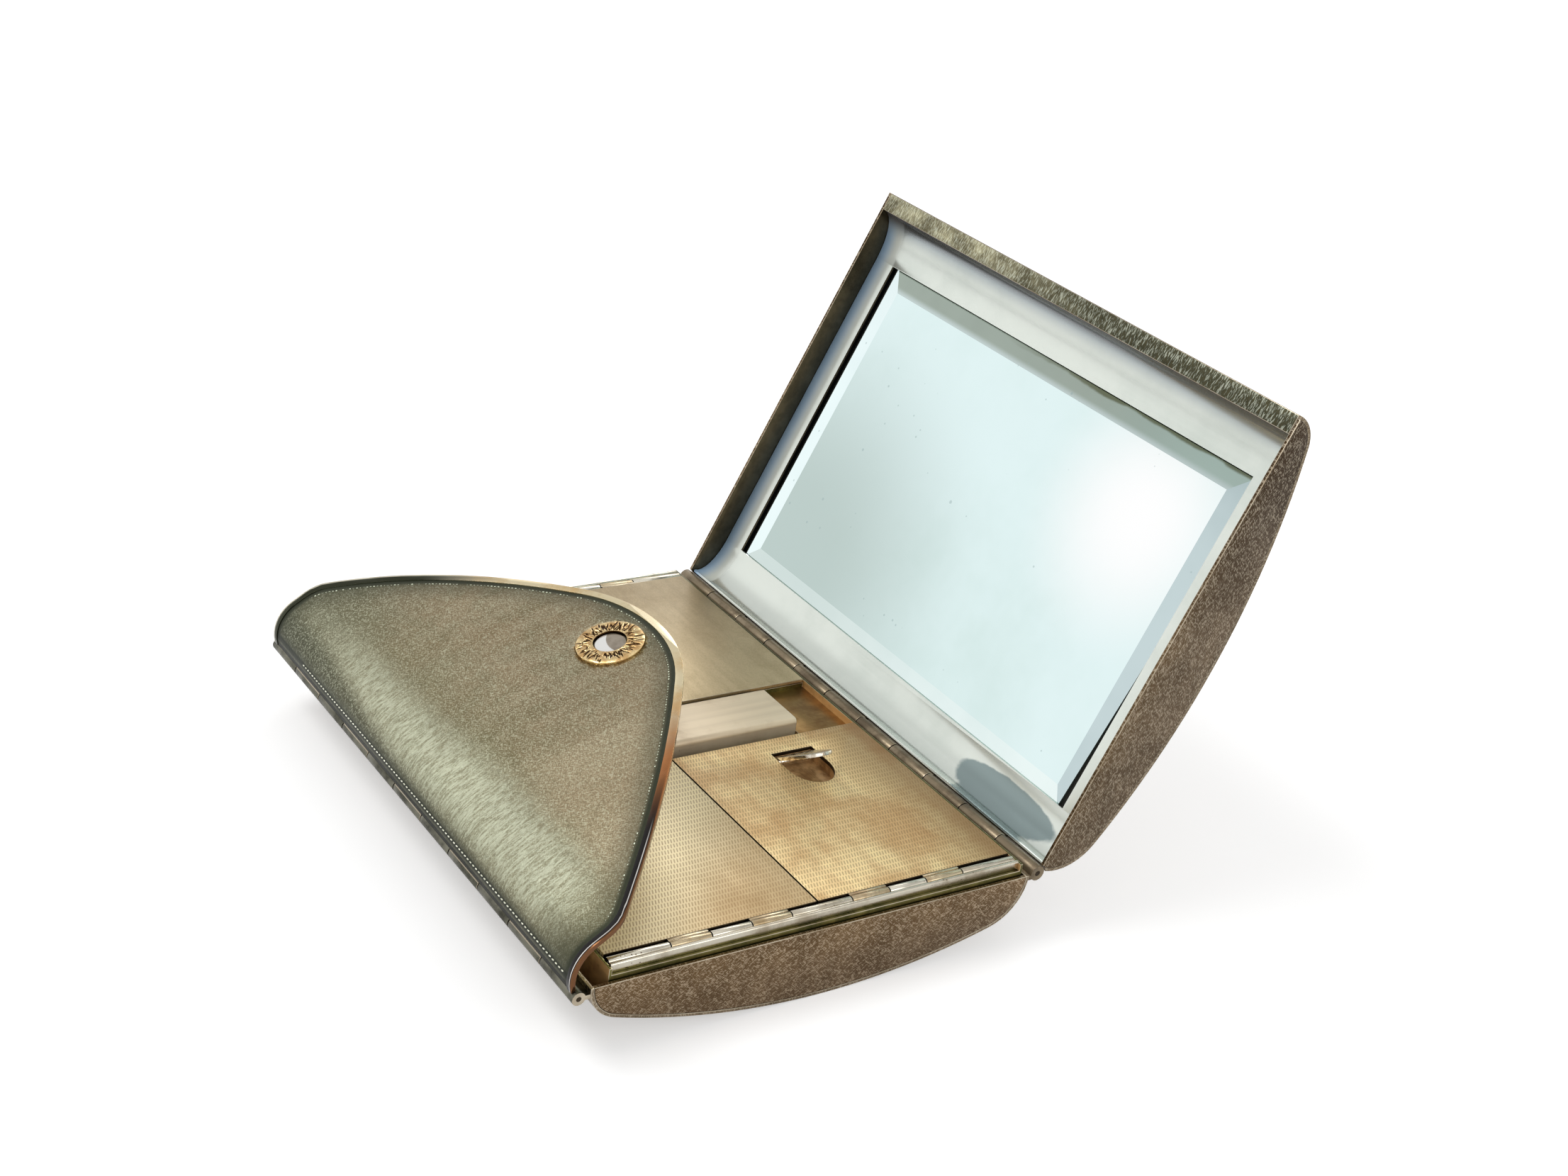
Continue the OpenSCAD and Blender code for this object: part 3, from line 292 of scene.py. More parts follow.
fine = (1100, 4200, 1100)
finishes = {
    "baseSilver": dict(pale=colour(150, 134, 112), dull=colour(104, 90, 70), hatch=(0.7, fine, 0.5, 0.6),
                       glintColour=colour(206, 194, 172), relief=0.03),
    "lidSilver": dict(pale=colour(150, 134, 112), dull=colour(104, 90, 70), turn=(90, 0, 0),
                      hatch=(0.7, fine, 0.5, 0.6), glintColour=colour(206, 194, 172), relief=0.03),
    "baseEndSilver": dict(pale=colour(134, 109, 79), dull=colour(96, 75, 50), turn=(0, 90, 0),
                          patches=(70, 0.35, 0.7), hatch=(0.9, fine, 0.55, 0.7), glintColour=colour(204, 184, 156),
                          relief=0.03),
    "lidEndSilver": dict(pale=colour(124, 102, 74), dull=colour(82, 65, 44), turn=(0, 90, 0),
                         patches=(60, 0.35, 0.7), hatch=(0.6, fine, 0.55, 0.6), glintColour=colour(204, 190, 166),
                         relief=0.03, shades=(((0, 0, 1), 0.07, 0.125, colour(54, 38, 22), 1.0),)),
    # a darker copy of the silver: painted shade on the insides of the end plates
    "shadedInnerSilver": dict(pale=colour(98, 86, 66), dull=colour(46, 40, 28), patches=(24, 0.4, 0.7), relief=0.01),
    "edgeSilver": dict(pale=colour(206, 194, 172), dull=colour(150, 132, 106), relief=0.005),
    # painted shade: a dark finish for faces in the gaps between parts, in seams and at the ends of pins and knuckles
    "gapShade": dict(pale=colour(72, 62, 48), dull=colour(40, 32, 24), relief=0.005),
    "darkSteel": dict(pale=colour(40, 42, 42), dull=colour(22, 24, 24), relief=0.005, rough=(0.5, 0.7)),
    "hingeSilver": dict(pale=colour(128, 126, 112), dull=colour(62, 62, 52), relief=0.012, patches=(120, 0.4, 0.64),
                        brushed=(900, 140, 900), specks=(900, 0.2, colour(60, 52, 40))),
    "lidHingeSilver": dict(pale=colour(150, 134, 108), dull=colour(88, 74, 54), relief=0.006,
                           patches=(120, 0.4, 0.64), metal=0.55, specks=(900, 0.2, colour(60, 52, 40))),
    "brightSilver": dict(pale=colour(222, 216, 200), dull=colour(158, 144, 120), patches=(80, 0.42, 0.72),
                         brushed=(1800, 60, 1800), rough=(0.18, 0.34), relief=0.0005, streak=0.25,
                         specks=(1000, 0.24, colour(92, 70, 48))),
    # the liner's shades and spot are painted reflections: the far cove bluer and paler, the top cove blue-grey and then
    # dark brown-grey towards the ledge, and a grey oval at the near lower corner
    "linerSilver": dict(pale=colour(232, 238, 230), dull=colour(212, 220, 212), patches=(30, 0.42, 0.75),
                        rough=(0.2, 0.26), relief=0.0, brushed=(30, 900, 900), streak=0.1, metal=0.72,
                        shades=(((-1, 0, 0), 0.0778, 0.083, colour(162, 198, 232), 0.9),
                                (lidUp, 0.1482, 0.153, colour(164, 176, 186), 0.75),
                                (lidUp, 0.1508, 0.1545, colour(84, 74, 68), 0.9)),
                        matt=((1, 0, 0), -0.0755, -0.0765, 0.35),
                        spot=((0.0597, 0.0416, 0.0236), (50, 0, 250), colour(122, 142, 144), 0.85)),
    # the ledge's shade is painted shade: darker towards the near end
    "ledgeSilver": dict(pale=colour(206, 200, 164), dull=colour(92, 86, 64), patches=(90, 0.36, 0.62),
                        turn=(90, 0, 0), hatch=(1.35, (500, 2600, 500), 0.6, 0.5), glintColour=colour(222, 226, 206),
                        relief=0.05, rough=(0.35, 0.55), streak=0.5,
                        shades=(((1, 0, 0), -0.05, 0.02, colour(50, 52, 40), 0.95),)),
    # the front cover's shade is painted light: paler along the edge under the flap, where the flap's shadow falls
    "frontGilt": dict(pale=colour(208, 181, 136), dull=colour(183, 152, 106), patches=(40, 0.42, 0.72),
                      dashes=(0.0019, 0.00082, 0.0008, 0.6), cutColour=colour(150, 114, 66), relief=0.03,
                      rough=(0.38, 0.5), metal=0.45,
                      shades=(((-0.66, -0.75, 0), -0.016, 0.006, colour(255, 240, 196), 0.85),)),
    "backGilt": dict(pale=colour(255, 230, 172), dull=colour(204, 162, 108), patches=(38, 0.42, 0.64),
                     dashes=(0.0019, 0.00082, 0.0008, 0.6), cutColour=colour(150, 114, 66), relief=0.02,
                     rough=(0.36, 0.46), metal=0.55, shades=(((0, 1, 0), 0.01, 0.034, colour(132, 86, 34), 0.8),)),
    "farSilver": dict(pale=colour(200, 180, 142), dull=colour(158, 138, 104), patches=(36, 0.38, 0.68),
                      hatch=(0.5, fine, 0.3, 0.3), relief=0.015, rough=(0.34, 0.46), metal=0.7),
    "giltHinge": dict(pale=colour(210, 196, 164), dull=colour(146, 118, 84), patches=(120, 0.4, 0.7), relief=0.0005,
                      brushed=(1800, 60, 1800), streak=0.25, rough=(0.2, 0.34)),
    "tintedHinge": dict(pale=colour(208, 192, 160), dull=colour(150, 126, 90), patches=(160, 0.38, 0.64),
                        relief=0.0005, brushed=(1800, 60, 1800), streak=0.25, rough=(0.2, 0.34)),
    # a paler, less metallic copy of the tray's gilt: painted light on its shaded front wall
    "litWallGilt": dict(pale=colour(214, 170, 112), dull=colour(140, 102, 60), patches=(90, 0.4, 0.66), relief=0.02,
                     metal=0.3),
    "trayGilt": dict(pale=colour(122, 116, 70), dull=colour(64, 66, 34), patches=(110, 0.4, 0.66), relief=0.02),
    "wellGilt": dict(pale=colour(186, 152, 100), dull=colour(122, 90, 54), patches=(90, 0.4, 0.66), relief=0.02,
                     brushed=(2200, 130, 2200)),
    "cupGilt": dict(pale=colour(246, 208, 152), dull=colour(150, 112, 70), patches=(130, 0.36, 0.6), relief=0.02,
                    metal=0.2, rough=(0.4, 0.5)),
    "tabSilver": dict(pale=colour(240, 234, 220), dull=colour(158, 136, 106), patches=(800, 0.44, 0.62), relief=0.08,
                      rough=(0.15, 0.35)),
    "lipstickSilver": dict(pale=colour(232, 214, 184), dull=colour(196, 174, 144), patches=(60, 0.42, 0.7), metal=0.4,
                           brushed=(2400, 60, 2400), relief=0.012, rough=(0.4, 0.5), streak=0.4,
                           specks=(1100, 0.2, colour(110, 92, 72))),
    "flapInner": dict(pale=colour(206, 196, 170), dull=colour(150, 136, 108), patches=(40, 0.4, 0.7), relief=0.006,
                      rough=(0.26, 0.38)),
    "beadSilver": dict(pale=colour(206, 212, 190), dull=colour(120, 124, 100), patches=(600, 0.42, 0.64), relief=0.002,
                       rough=(0.25, 0.35)),
    # a paler copy of beadSilver: painted light on the beads above the hinge
    "litFootBeadSilver": dict(pale=colour(250, 250, 232), dull=colour(206, 208, 184), patches=(600, 0.42, 0.64),
                           relief=0.002, rough=(0.25, 0.35)),
    "pinSteel": dict(pale=colour(170, 164, 152), dull=colour(96, 90, 80), relief=0.01),
}
made = {name: metalFinish(name, **look) for name, look in finishes.items()}

# the clasp: its axis in the flap at rest, and the middle of the seat that the ring stands on
claspAxis = Vector((0, -0.2948, 0.95556)).normalized()
ringFoot = [v.co for v in nodes["ornament_ring"].data.vertices]
lowest = min(co.dot(claspAxis) for co in ringFoot)
ringFoot = [co for co in ringFoot if co.dot(claspAxis) < lowest + 1e-6]
claspSeat = sum(ringFoot, Vector()) / len(ringFoot)
buttonSet = {"low": 0.3, "thick": 0.16, "radius": 3.95, "wasLow": 1.2, "wasThick": 0.7, "wasRadius": 4.15,
             "recess": 4.15, "recessDepth": 0.55, "washerLow": -0.55, "washerThick": 0.03, "washerWasThick": 0.3,
             "lidReflectionMiddle": claspSeat + Vector((0.0014, 0.0059, 0.0018)), "lidReflectionReach": 0.0073}


def makeFlapFinish():
    # the flap's finish follows two attributes of its piece, in millimetres: how far in from the rim, how far up
    material, tree, shader = newMaterial("flapSilver")
    place = objectPlace(tree)
    east = put(tree, "ShaderNodeSeparateXYZ", {0: place}).outputs["X"]
    edge = put(tree, "ShaderNodeAttribute", attribute_name="edgeDistance").outputs["Fac"]
    along = put(tree, "ShaderNodeAttribute", attribute_name="alongFlap").outputs["Fac"]
    patch = groupNode(tree, tarnishPatches, {"Vector": place, "Scale": 38.0, "Low": 0.36, "High": 0.68})["Mask"]
    cloud = groupNode(tree, tarnishPatches, {"Vector": place, "Scale": 120.0, "Low": 0.4, "High": 0.64})["Mask"]
    lines = groupNode(tree, brushedLines, {"Vector": place, "Stretch": (1700.0, 300.0, 300.0)})
    marks = groupNode(tree, crossHatch, {"Vector": place, "Angle": 0.6, "Stretch": (1300.0, 4200.0, 1300.0)})
    brown, olive = colour(158, 137, 105), colour(120, 116, 86)
    mint, dark, black = colour(212, 216, 190), colour(78, 80, 64), colour(34, 36, 26)
    toned = blended(tree, patch, brown, colour(130, 115, 87))
    toned = blended(tree, maths(tree, "MULTIPLY", cloud, 0.35), toned, olive)
    toned = blended(tree, maths(tree, "MULTIPLY", lines["Streak"], 0.3), toned, colour(178, 164, 136))
    toned = blended(tree, maths(tree, "MULTIPLY", ranged(tree, along, 46.0, 18.0), 0.7), toned, olive)
    toned = blended(tree, maths(tree, "MULTIPLY", ranged(tree, east, -0.035, -0.08), 0.5), toned, dark)
    warm = maths(tree, "MULTIPLY", ranged(tree, east, 0.012, 0.04), ranged(tree, along, 22.0, 32.0, 0.0, 0.4))
    toned = blended(tree, warm, toned, colour(190, 170, 138))
    toned = blended(tree, maths(tree, "MULTIPLY", ranged(tree, marks["Height"], 0.55, 0.0), 0.4), toned, dark)
    # the mint streaks, partly wear and partly a painted highlight where the nose curves, lie about 17 mm up, in a band
    # that is narrow at the far side and wide at the near side
    lowSide = maths(tree, "SUBTRACT", along, ranged(tree, east, -0.06, 0.0, 5.0, 0.0))
    highSide = maths(tree, "SUBTRACT", along, ranged(tree, east, -0.03, 0.04, 0.0, 4.0))
    reach = maths(tree, "MULTIPLY", ranged(tree, lowSide, 5.0, 12.0), ranged(tree, highSide, 26.0, 15.0))
    reach = maths(tree, "MULTIPLY", reach, ranged(tree, edge, 3.0, 13.0))
    reach = maths(tree, "MULTIPLY", reach, ranged(tree, east, -0.07, -0.035, 0.2, 1.0))
    reach = maths(tree, "MULTIPLY", reach, ranged(tree, east, 0.078, 0.058, 0.25, 1.0))
    below = maths(tree, "MULTIPLY", ranged(tree, lowSide, 11.0, 5.0), ranged(tree, east, 0.05, -0.02, 0.35, 0.75))
    toned = blended(tree, below, toned, dark)
    wearAndHighlight = maths(tree, "MULTIPLY", reach, ranged(tree, lines["Height"], 0.15, 0.85, 0.25, 1.0))
    toned = blended(tree, maths(tree, "MULTIPLY", wearAndHighlight, 0.8), toned, mint)
    toned = blended(tree, maths(tree, "MULTIPLY", marks["Glint"], 0.45), toned, mint)
    rimShade = maths(tree, "MULTIPLY", ranged(tree, edge, 11.0, 3.0), 0.55)
    footShade = maths(tree, "MULTIPLY", ranged(tree, along, 8.0, 5.4), 0.75)
    toned = blended(tree, maths(tree, "MAXIMUM", rimShade, footShade), toned, dark)
    # painted shade: darker at the near corner, low on the flap
    corner = maths(tree, "MULTIPLY", ranged(tree, east, 0.062, 0.078), ranged(tree, along, 20.0, 8.0, 0.0, 0.6))
    toned = blended(tree, corner, toned, dark)
    toned = blended(tree, ranged(tree, edge, 4.4, 2.7), toned, colour(60, 63, 50))
    # the foot's beads lie in a dark groove with a worn line under it
    groove = maths(tree, "MULTIPLY", ranged(tree, along, 5.8, 5.2), ranged(tree, along, 3.6, 4.2))
    toned = blended(tree, maths(tree, "MULTIPLY", groove, 0.85), toned, colour(40, 44, 32))
    toned = blended(tree, ranged(tree, along, 3.3, 3.0), toned, black)
    toned = blended(tree, ranged(tree, along, 1.7, 1.4), toned, colour(196, 190, 168))
    tree.links.new(toned, shader.inputs["Base Color"])
    tree.links.new(ranged(tree, patch, 0.0, 1.0, 0.32, 0.44, False), shader.inputs["Roughness"])
    shader.inputs["Metallic"].default_value = 1.0
    height = maths(tree, "MULTIPLY_ADD", lines["Height"], 0.5, marks["Height"])
    bump = put(tree, "ShaderNodeBump", {"Strength": 0.6, "Distance": 0.03 * mm, "Height": height})
    tree.links.new(bump.outputs[0], shader.inputs["Normal"])
    return material


def makeRimFinish():
    # pale gold at the far side, worn to copper at the near side, where a painted dark reflection lies on top with a
    # thin painted highlight line in it
    material, tree, shader = newMaterial("rimGold")
    place = objectPlace(tree)
    east = put(tree, "ShaderNodeSeparateXYZ", {0: place}).outputs["X"]
    edge = put(tree, "ShaderNodeAttribute", attribute_name="edgeDistance").outputs["Fac"]
    patch = groupNode(tree, tarnishPatches, {"Vector": place, "Scale": 90.0, "Low": 0.42, "High": 0.68})["Mask"]
    toned = blended(tree, patch, colour(250, 234, 194), colour(222, 190, 138))
    toned = blended(tree, ranged(tree, east, 0.026, 0.05), toned, colour(184, 122, 74))
    toned = blended(tree, ranged(tree, east, 0.05, 0.07), toned, colour(122, 84, 56))
    darkReflection = maths(tree, "MULTIPLY", ranged(tree, east, 0.046, 0.066), ranged(tree, edge, 0.25, 0.5))
    toned = blended(tree, darkReflection, toned, colour(46, 44, 44))
    shine = maths(tree, "MULTIPLY", ranged(tree, east, 0.062, 0.07), ranged(tree, edge, 0.6, 0.7))
    shine = maths(tree, "MULTIPLY", shine, ranged(tree, edge, 0.95, 0.85))
    toned = blended(tree, shine, toned, colour(236, 232, 226))
    far = ranged(tree, east, -0.04, -0.062)
    toned = blended(tree, far, toned, colour(216, 210, 190))
    toned = blended(tree, maths(tree, "MULTIPLY", far, ranged(tree, edge, 0.35, 0.6)), toned, colour(66, 68, 54))
    tree.links.new(toned, shader.inputs["Base Color"])
    tree.links.new(ranged(tree, patch, 0.0, 1.0, 0.14, 0.3, False), shader.inputs["Roughness"])
    shader.inputs["Metallic"].default_value = 1.0
    grain = groupNode(tree, brushedLines, {"Vector": place, "Stretch": (400.0, 400.0, 400.0)})["Height"]
    bump = put(tree, "ShaderNodeBump", {"Strength": 0.4, "Distance": 0.01 * mm, "Height": grain})
    tree.links.new(bump.outputs[0], shader.inputs["Normal"])
    return material


def makeRingFinish():
    # gold, brown where the attribute says that the bark is gouged
    material, tree, shader = newMaterial("ringGold")
    place = objectPlace(tree)
    gouge = put(tree, "ShaderNodeAttribute", attribute_name="gouge").outputs["Fac"]
    patch = groupNode(tree, tarnishPatches, {"Vector": place, "Scale": 420.0, "Low": 0.4, "High": 0.62})["Mask"]
    toned = blended(tree, patch, colour(230, 204, 152), colour(188, 152, 102))
    toned = blended(tree, ranged(tree, gouge, 0.1, 0.5), toned, colour(64, 42, 20))
    tree.links.new(toned, shader.inputs["Base Color"])
    tree.links.new(ranged(tree, patch, 0.0, 1.0, 0.22, 0.38, False), shader.inputs["Roughness"])
    shader.inputs["Metallic"].default_value = 1.0
    bump = put(tree, "ShaderNodeBump", {"Strength": 0.5, "Distance": 0.04 * mm, "Height": patch})
    tree.links.new(bump.outputs[0], shader.inputs["Normal"])
    return material


def makeButtonFinish():
    # polished: the lid's grey lies over the half nearer to the lid, with a curved edge
    material, tree, shader = newMaterial("buttonSilver")
    place = objectPlace(tree)
    away = put(tree, "ShaderNodeVectorMath", {0: place, 1: buttonSet["lidReflectionMiddle"]}, operation="DISTANCE").outputs["Value"]
    patch = groupNode(tree, tarnishPatches, {"Vector": place, "Scale": 400.0, "Low": 0.4, "High": 0.7})["Mask"]
    # painted reflections: the grey half is a painted reflection of the lid, the white half a painted reflection of the
    # bright room
    grey = blended(tree, patch, colour(176, 164, 148), colour(150, 138, 122))
    toned = blended(tree, ranged(tree, away, buttonSet["lidReflectionReach"], buttonSet["lidReflectionReach"] - 0.0003), colour(255, 254, 250), grey)
    tree.links.new(toned, shader.inputs["Base Color"])
    tree.links.new(ranged(tree, patch, 0.0, 1.0, 0.08, 0.16, False), shader.inputs["Roughness"])
    shader.inputs["Metallic"].default_value = 0.6
    return material


# the main face of the mirror and its four bevels: clear and hazy tint, which differ from facet to facet as painted
# reflections, and how the silvering leans
mirrorSet = {"main": ((226, 244, 244), (212, 232, 229), (0, 0, 0.11)), "top": ((164, 176, 166), (144, 156, 146), (0, 0, 0.11)),
             "foot": ((236, 248, 246), (218, 234, 232), (0, 0, 0.29)), "near": ((198, 214, 216), (170, 188, 190), (0, 0, 0.11)),
             "far": ((238, 252, 252), (220, 238, 240), (0.3, 0, 0.11)),
             "brightMiddle": (0.0503, 0.0718, 0.0973), "dimMiddle": (-0.062, 0.0447, 0.037)}


def makeMirrorFinish(facet):
    material, tree, shader = newMaterial("mirror." + facet)
    place = objectPlace(tree)
    clear, hazy, lean = mirrorSet[facet]
    haze = groupNode(tree, tarnishPatches, {"Vector": place, "Scale": 12.0, "Low": 0.4, "High": 0.8})["Mask"]
    specks = groupNode(tree, darkSpecks, {"Vector": place, "Scale": 260.0, "Size": 0.16})["Mask"]
    toned = blended(tree, haze, colour(*clear), colour(*hazy))
    if facet in ("main", "foot"):
        # painted shade: greyer round a middle low at the far side
        dim = put(tree, "ShaderNodeVectorMath", {0: place, 1: mirrorSet["dimMiddle"]}, operation="DISTANCE")
        share = 0.85 if facet == "main" else 0.5
        toned = blended(tree, ranged(tree, dim.outputs["Value"], 0.085, 0.02, 0, share), toned, colour(182, 198, 193))
    if facet == "top":
        # its painted reflection pales towards the near side and along its lower edge, and it is tarnished along its
        # upper edge
        east = put(tree, "ShaderNodeSeparateXYZ", {0: place}).outputs["X"]
        up = put(tree, "ShaderNodeVectorMath", {0: place, 1: lidUp}, operation="DOT_PRODUCT").outputs["Value"]
        edge = max(Vector(lidUp).dot(vertex.co) for vertex in nodes["mirror_glass"].data.vertices)
        toned = blended(tree, ranged(tree, east, 0.005, 0.07), toned, colour(174, 194, 186))
        lowEdge = maths(tree, "MULTIPLY", ranged(tree, up, edge - 5.0 * mm, edge - 7.0 * mm), 0.8)
        toned = blended(tree, lowEdge, toned, colour(206, 220, 220))
        fray = put(tree, "ShaderNodeTexNoise", {"Vector": place, "Scale": 90.0, "Detail": 3.0}).outputs[0]
        frayed = maths(tree, "MULTIPLY_ADD", fray, 2.4 * mm, up)
        highEdge = maths(tree, "MULTIPLY", ranged(tree, frayed, edge - 1.3 * mm, edge - 0.5 * mm), 0.85)
        highEdge = maths(tree, "MULTIPLY", highEdge, ranged(tree, east, -0.03, 0.02))
        toned = blended(tree, highEdge, toned, colour(96, 100, 72))
    if facet == "main":
        # painted reflection: white round a middle high at the near side
        bright = put(tree, "ShaderNodeVectorMath", {0: place, 1: mirrorSet["brightMiddle"]}, operation="DISTANCE")
        toned = blended(tree, ranged(tree, bright.outputs["Value"], 0.042, 0.006), toned, colour(255, 255, 255))
    toned = blended(tree, maths(tree, "MULTIPLY", specks, 0.5), toned, colour(160, 180, 180))
    tree.links.new(toned, shader.inputs["Base Color"])
    tree.links.new(ranged(tree, haze, 0.0, 1.0, 0.01, 0.05, False), shader.inputs["Roughness"])
    shader.inputs["Metallic"].default_value = 1.0
    # the silvering leans back a little from the glass's face
    height = put(tree, "ShaderNodeVectorMath", {0: place, 1: lean}, operation="DOT_PRODUCT").outputs["Value"]
    tilt = put(tree, "ShaderNodeBump", {"Strength": 1.0, "Distance": 1.0, "Height": maths(tree, "MULTIPLY", height, -1.0)})
    tree.links.new(tilt.outputs[0], shader.inputs["Normal"])
    return material


# the card is painted shade: kept near black, so that the gap beside the askew glass shows dark
def makeCardFinish():
    material, tree, shader = newMaterial("shadedBackingCard")
    place = objectPlace(tree)
    fibres = put(tree, "ShaderNodeTexNoise", {"Vector": place, "Scale": 900.0, "Detail": 4.0}).outputs[0]
    tree.links.new(blended(tree, fibres, colour(44, 44, 38), colour(28, 28, 24)), shader.inputs["Base Color"])
    shader.inputs["Roughness"].default_value = 0.9
    bump = put(tree, "ShaderNodeBump", {"Strength": 0.5, "Distance": 0.05 * mm, "Height": fibres})
    tree.links.new(bump.outputs[0], shader.inputs["Normal"])
    return material


made["flapSilver"] = makeFlapFinish()
made["rimGold"] = makeRimFinish()
made["ringGold"] = makeRingFinish()
made["buttonSilver"] = makeButtonFinish()
for facet in ("main", "top", "foot", "near", "far"):
    made["mirror." + facet] = makeMirrorFinish(facet)
made["shadedBackingCard"] = makeCardFinish()
print("finishes made:", len(made))


# Pieces that keep their CAD shape and gain worn edges

def pick(piece):
    bpy.ops.object.select_all(action="DESELECT")
    piece.select_set(True)
    bpy.context.view_layer.objects.active = piece


def settle(piece, body, slotName, *replaced):
    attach(piece, body)
    if replaced:
        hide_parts(*replaced)


def copyOf(nodeName, pieceName):
    piece = bpy.data.objects.new(pieceName, nodes[nodeName].data.copy())
    bpy.context.scene.collection.objects.link(piece)
    piece.data.materials.clear()
    pick(piece)
    bpy.ops.object.mode_set(mode="EDIT")
    bpy.ops.mesh.select_all(action="SELECT")
    bpy.ops.mesh.remove_doubles(threshold=2e-6)
    bpy.ops.mesh.dissolve_limited(angle_limit=math.radians(0.4))
    bpy.ops.object.mode_set(mode="OBJECT")
    return piece


def roundEdges(piece, width, segments=2, angle=32, smooth=28):
    pick(piece)
    bpy.ops.object.shade_smooth()
    bevel = piece.modifiers.new("rounded edges", "BEVEL")
    bevel.width = width * mm
    bevel.segments = segments
    bevel.limit_method = "ANGLE"
    bevel.angle_limit = math.radians(angle)
    bevel.material = 1
    bevel.miter_outer = "MITER_SHARP"
    bevel.harden_normals = False
    bpy.ops.object.modifier_apply(modifier=bevel.name)
    bpy.ops.object.shade_smooth_by_angle(angle=math.radians(smooth))


slots = {part["node"]: part["material_slot"] for part in frame["record"]["subparts"]}

dressed = {
    # node: (finish, finish of its edges, width of its rounded edges in mm)
    "base_shell": ("baseSilver", "edgeSilver", 0.15),
    "base_end_near": ("baseEndSilver", "edgeSilver", 0.15),
    "base_end_far": ("baseEndSilver", "edgeSilver", 0.15),
    "base_lid_hinge": ("lidHingeSilver", "edgeSilver", 0.12),
    "base_flap_hinge": ("hingeSilver", "edgeSilver", 0.12),
    "lid_hinge": ("lidHingeSilver", "edgeSilver", 0.12),
    "flap_hinge": ("hingeSilver", "edgeSilver", 0.12),
    "lid_pin": ("pinSteel", "edgeSilver", 0.08),
    "flap_pin": ("pinSteel", "edgeSilver", 0.08),
    "cover_pin_near": ("pinSteel", "edgeSilver", 0.06),
    "cover_pin_far": ("pinSteel", "edgeSilver", 0.06),
    "tab_pin": ("pinSteel", "edgeSilver", 0.04),
    "tray_pan": ("trayGilt", "edgeSilver", 0.12),
    "well_rest_front": ("wellGilt", "giltHinge", 0.1),
    "well_rest_back": ("wellGilt", "giltHinge", 0.1),
    "tray_rail_near": ("brightSilver", "brightSilver", 0.2),
    "tray_rail_far": ("brightSilver", "brightSilver", 0.2),
    "tray_hinge_near": ("brightSilver", "brightSilver", 0.08),
    "tray_hinge_far": ("brightSilver", "brightSilver", 0.08),
    "far_cover_plate": ("farSilver", "edgeSilver", 0.12),
    "far_cover_hinge": ("tintedHinge", "brightSilver", 0.08),
    "front_cover_plate": ("frontGilt", "giltHinge", 0.12),
    "front_cover_hinge": ("tintedHinge", "brightSilver", 0.08),
    "back_cover_plate": ("backGilt", "edgeSilver", 0.12),
    "back_cover_hinge": ("giltHinge", "brightSilver", 0.08),
    "finger_cup": ("cupGilt", "giltHinge", 0.08),
    "thumb_tab": ("tabSilver", "tabSilver", 0.15),
    "lipstick_sleeve": ("lipstickSilver", "brightSilver", 0.12),
    "lipstick_cap": ("lipstickSilver", "brightSilver", 0.12),
    "lid_shell": ("lidSilver", "edgeSilver", 0.15),
    "lid_end_near": ("lidEndSilver", "edgeSilver", 0.15),
    "lid_end_far": ("lidEndSilver", "edgeSilver", 0.15),
    "lid_ledge": ("ledgeSilver", "edgeSilver", 0.12),
    "mirror_liner": ("linerSilver", "linerSilver", 0.08),
    "mirror_glass": ("mirror.main", "mirror.main", 0.08),
    "mirror_card": ("shadedBackingCard", "shadedBackingCard", 0.08),
    "mirror_cradle": ("darkSteel", "darkSteel", 0.08),
    "strike_cup": ("pinSteel", "edgeSilver", 0.08),
    "latch_barrel": ("pinSteel", "edgeSilver", 0.06),
    "button_washer": ("pinSteel", "edgeSilver", 0.03),
    "clasp_button": ("buttonSilver", "edgeSilver", 0.12),
    "flap_rim": ("rimGold", "rimGold", 0.4),
}

lidFacing = Matrix.Rotation(-lidOpen, 3, "X") @ Vector((0, 0, -1))


def isEndPlateSeam(face, facing):
    # the rounded edge that meets the curved shell, not the one along the rim
    return face.material_index == 1 and face.normal.dot(facing) < 0.3


# faces that take the dark gap finish, painted shade where parts meet
darkFaces = {
    "far_cover_plate": lambda face: face.normal.x < -0.3,
    "front_cover_plate": lambda face: face.normal.x > 0.3 or face.normal.y > 0.3,
    "back_cover_plate": lambda face: face.normal.x > 0.3 or face.normal.y < -0.3,
    "mirror_liner": lambda face: face.normal.x > 0.7 and -0.0765 < face.center.x < -0.0755,
    "flap_pin": lambda face: abs(face.normal.x) > 0.9,
    "lid_pin": lambda face: abs(face.normal.x) > 0.9,
    "base_end_near": lambda face: isEndPlateSeam(face, Vector((0, 0, 1))),
    "base_end_far": lambda face: isEndPlateSeam(face, Vector((0, 0, 1))),
    "lid_end_near": lambda face: isEndPlateSeam(face, lidFacing),
    "lid_end_far": lambda face: isEndPlateSeam(face, lidFacing),
}
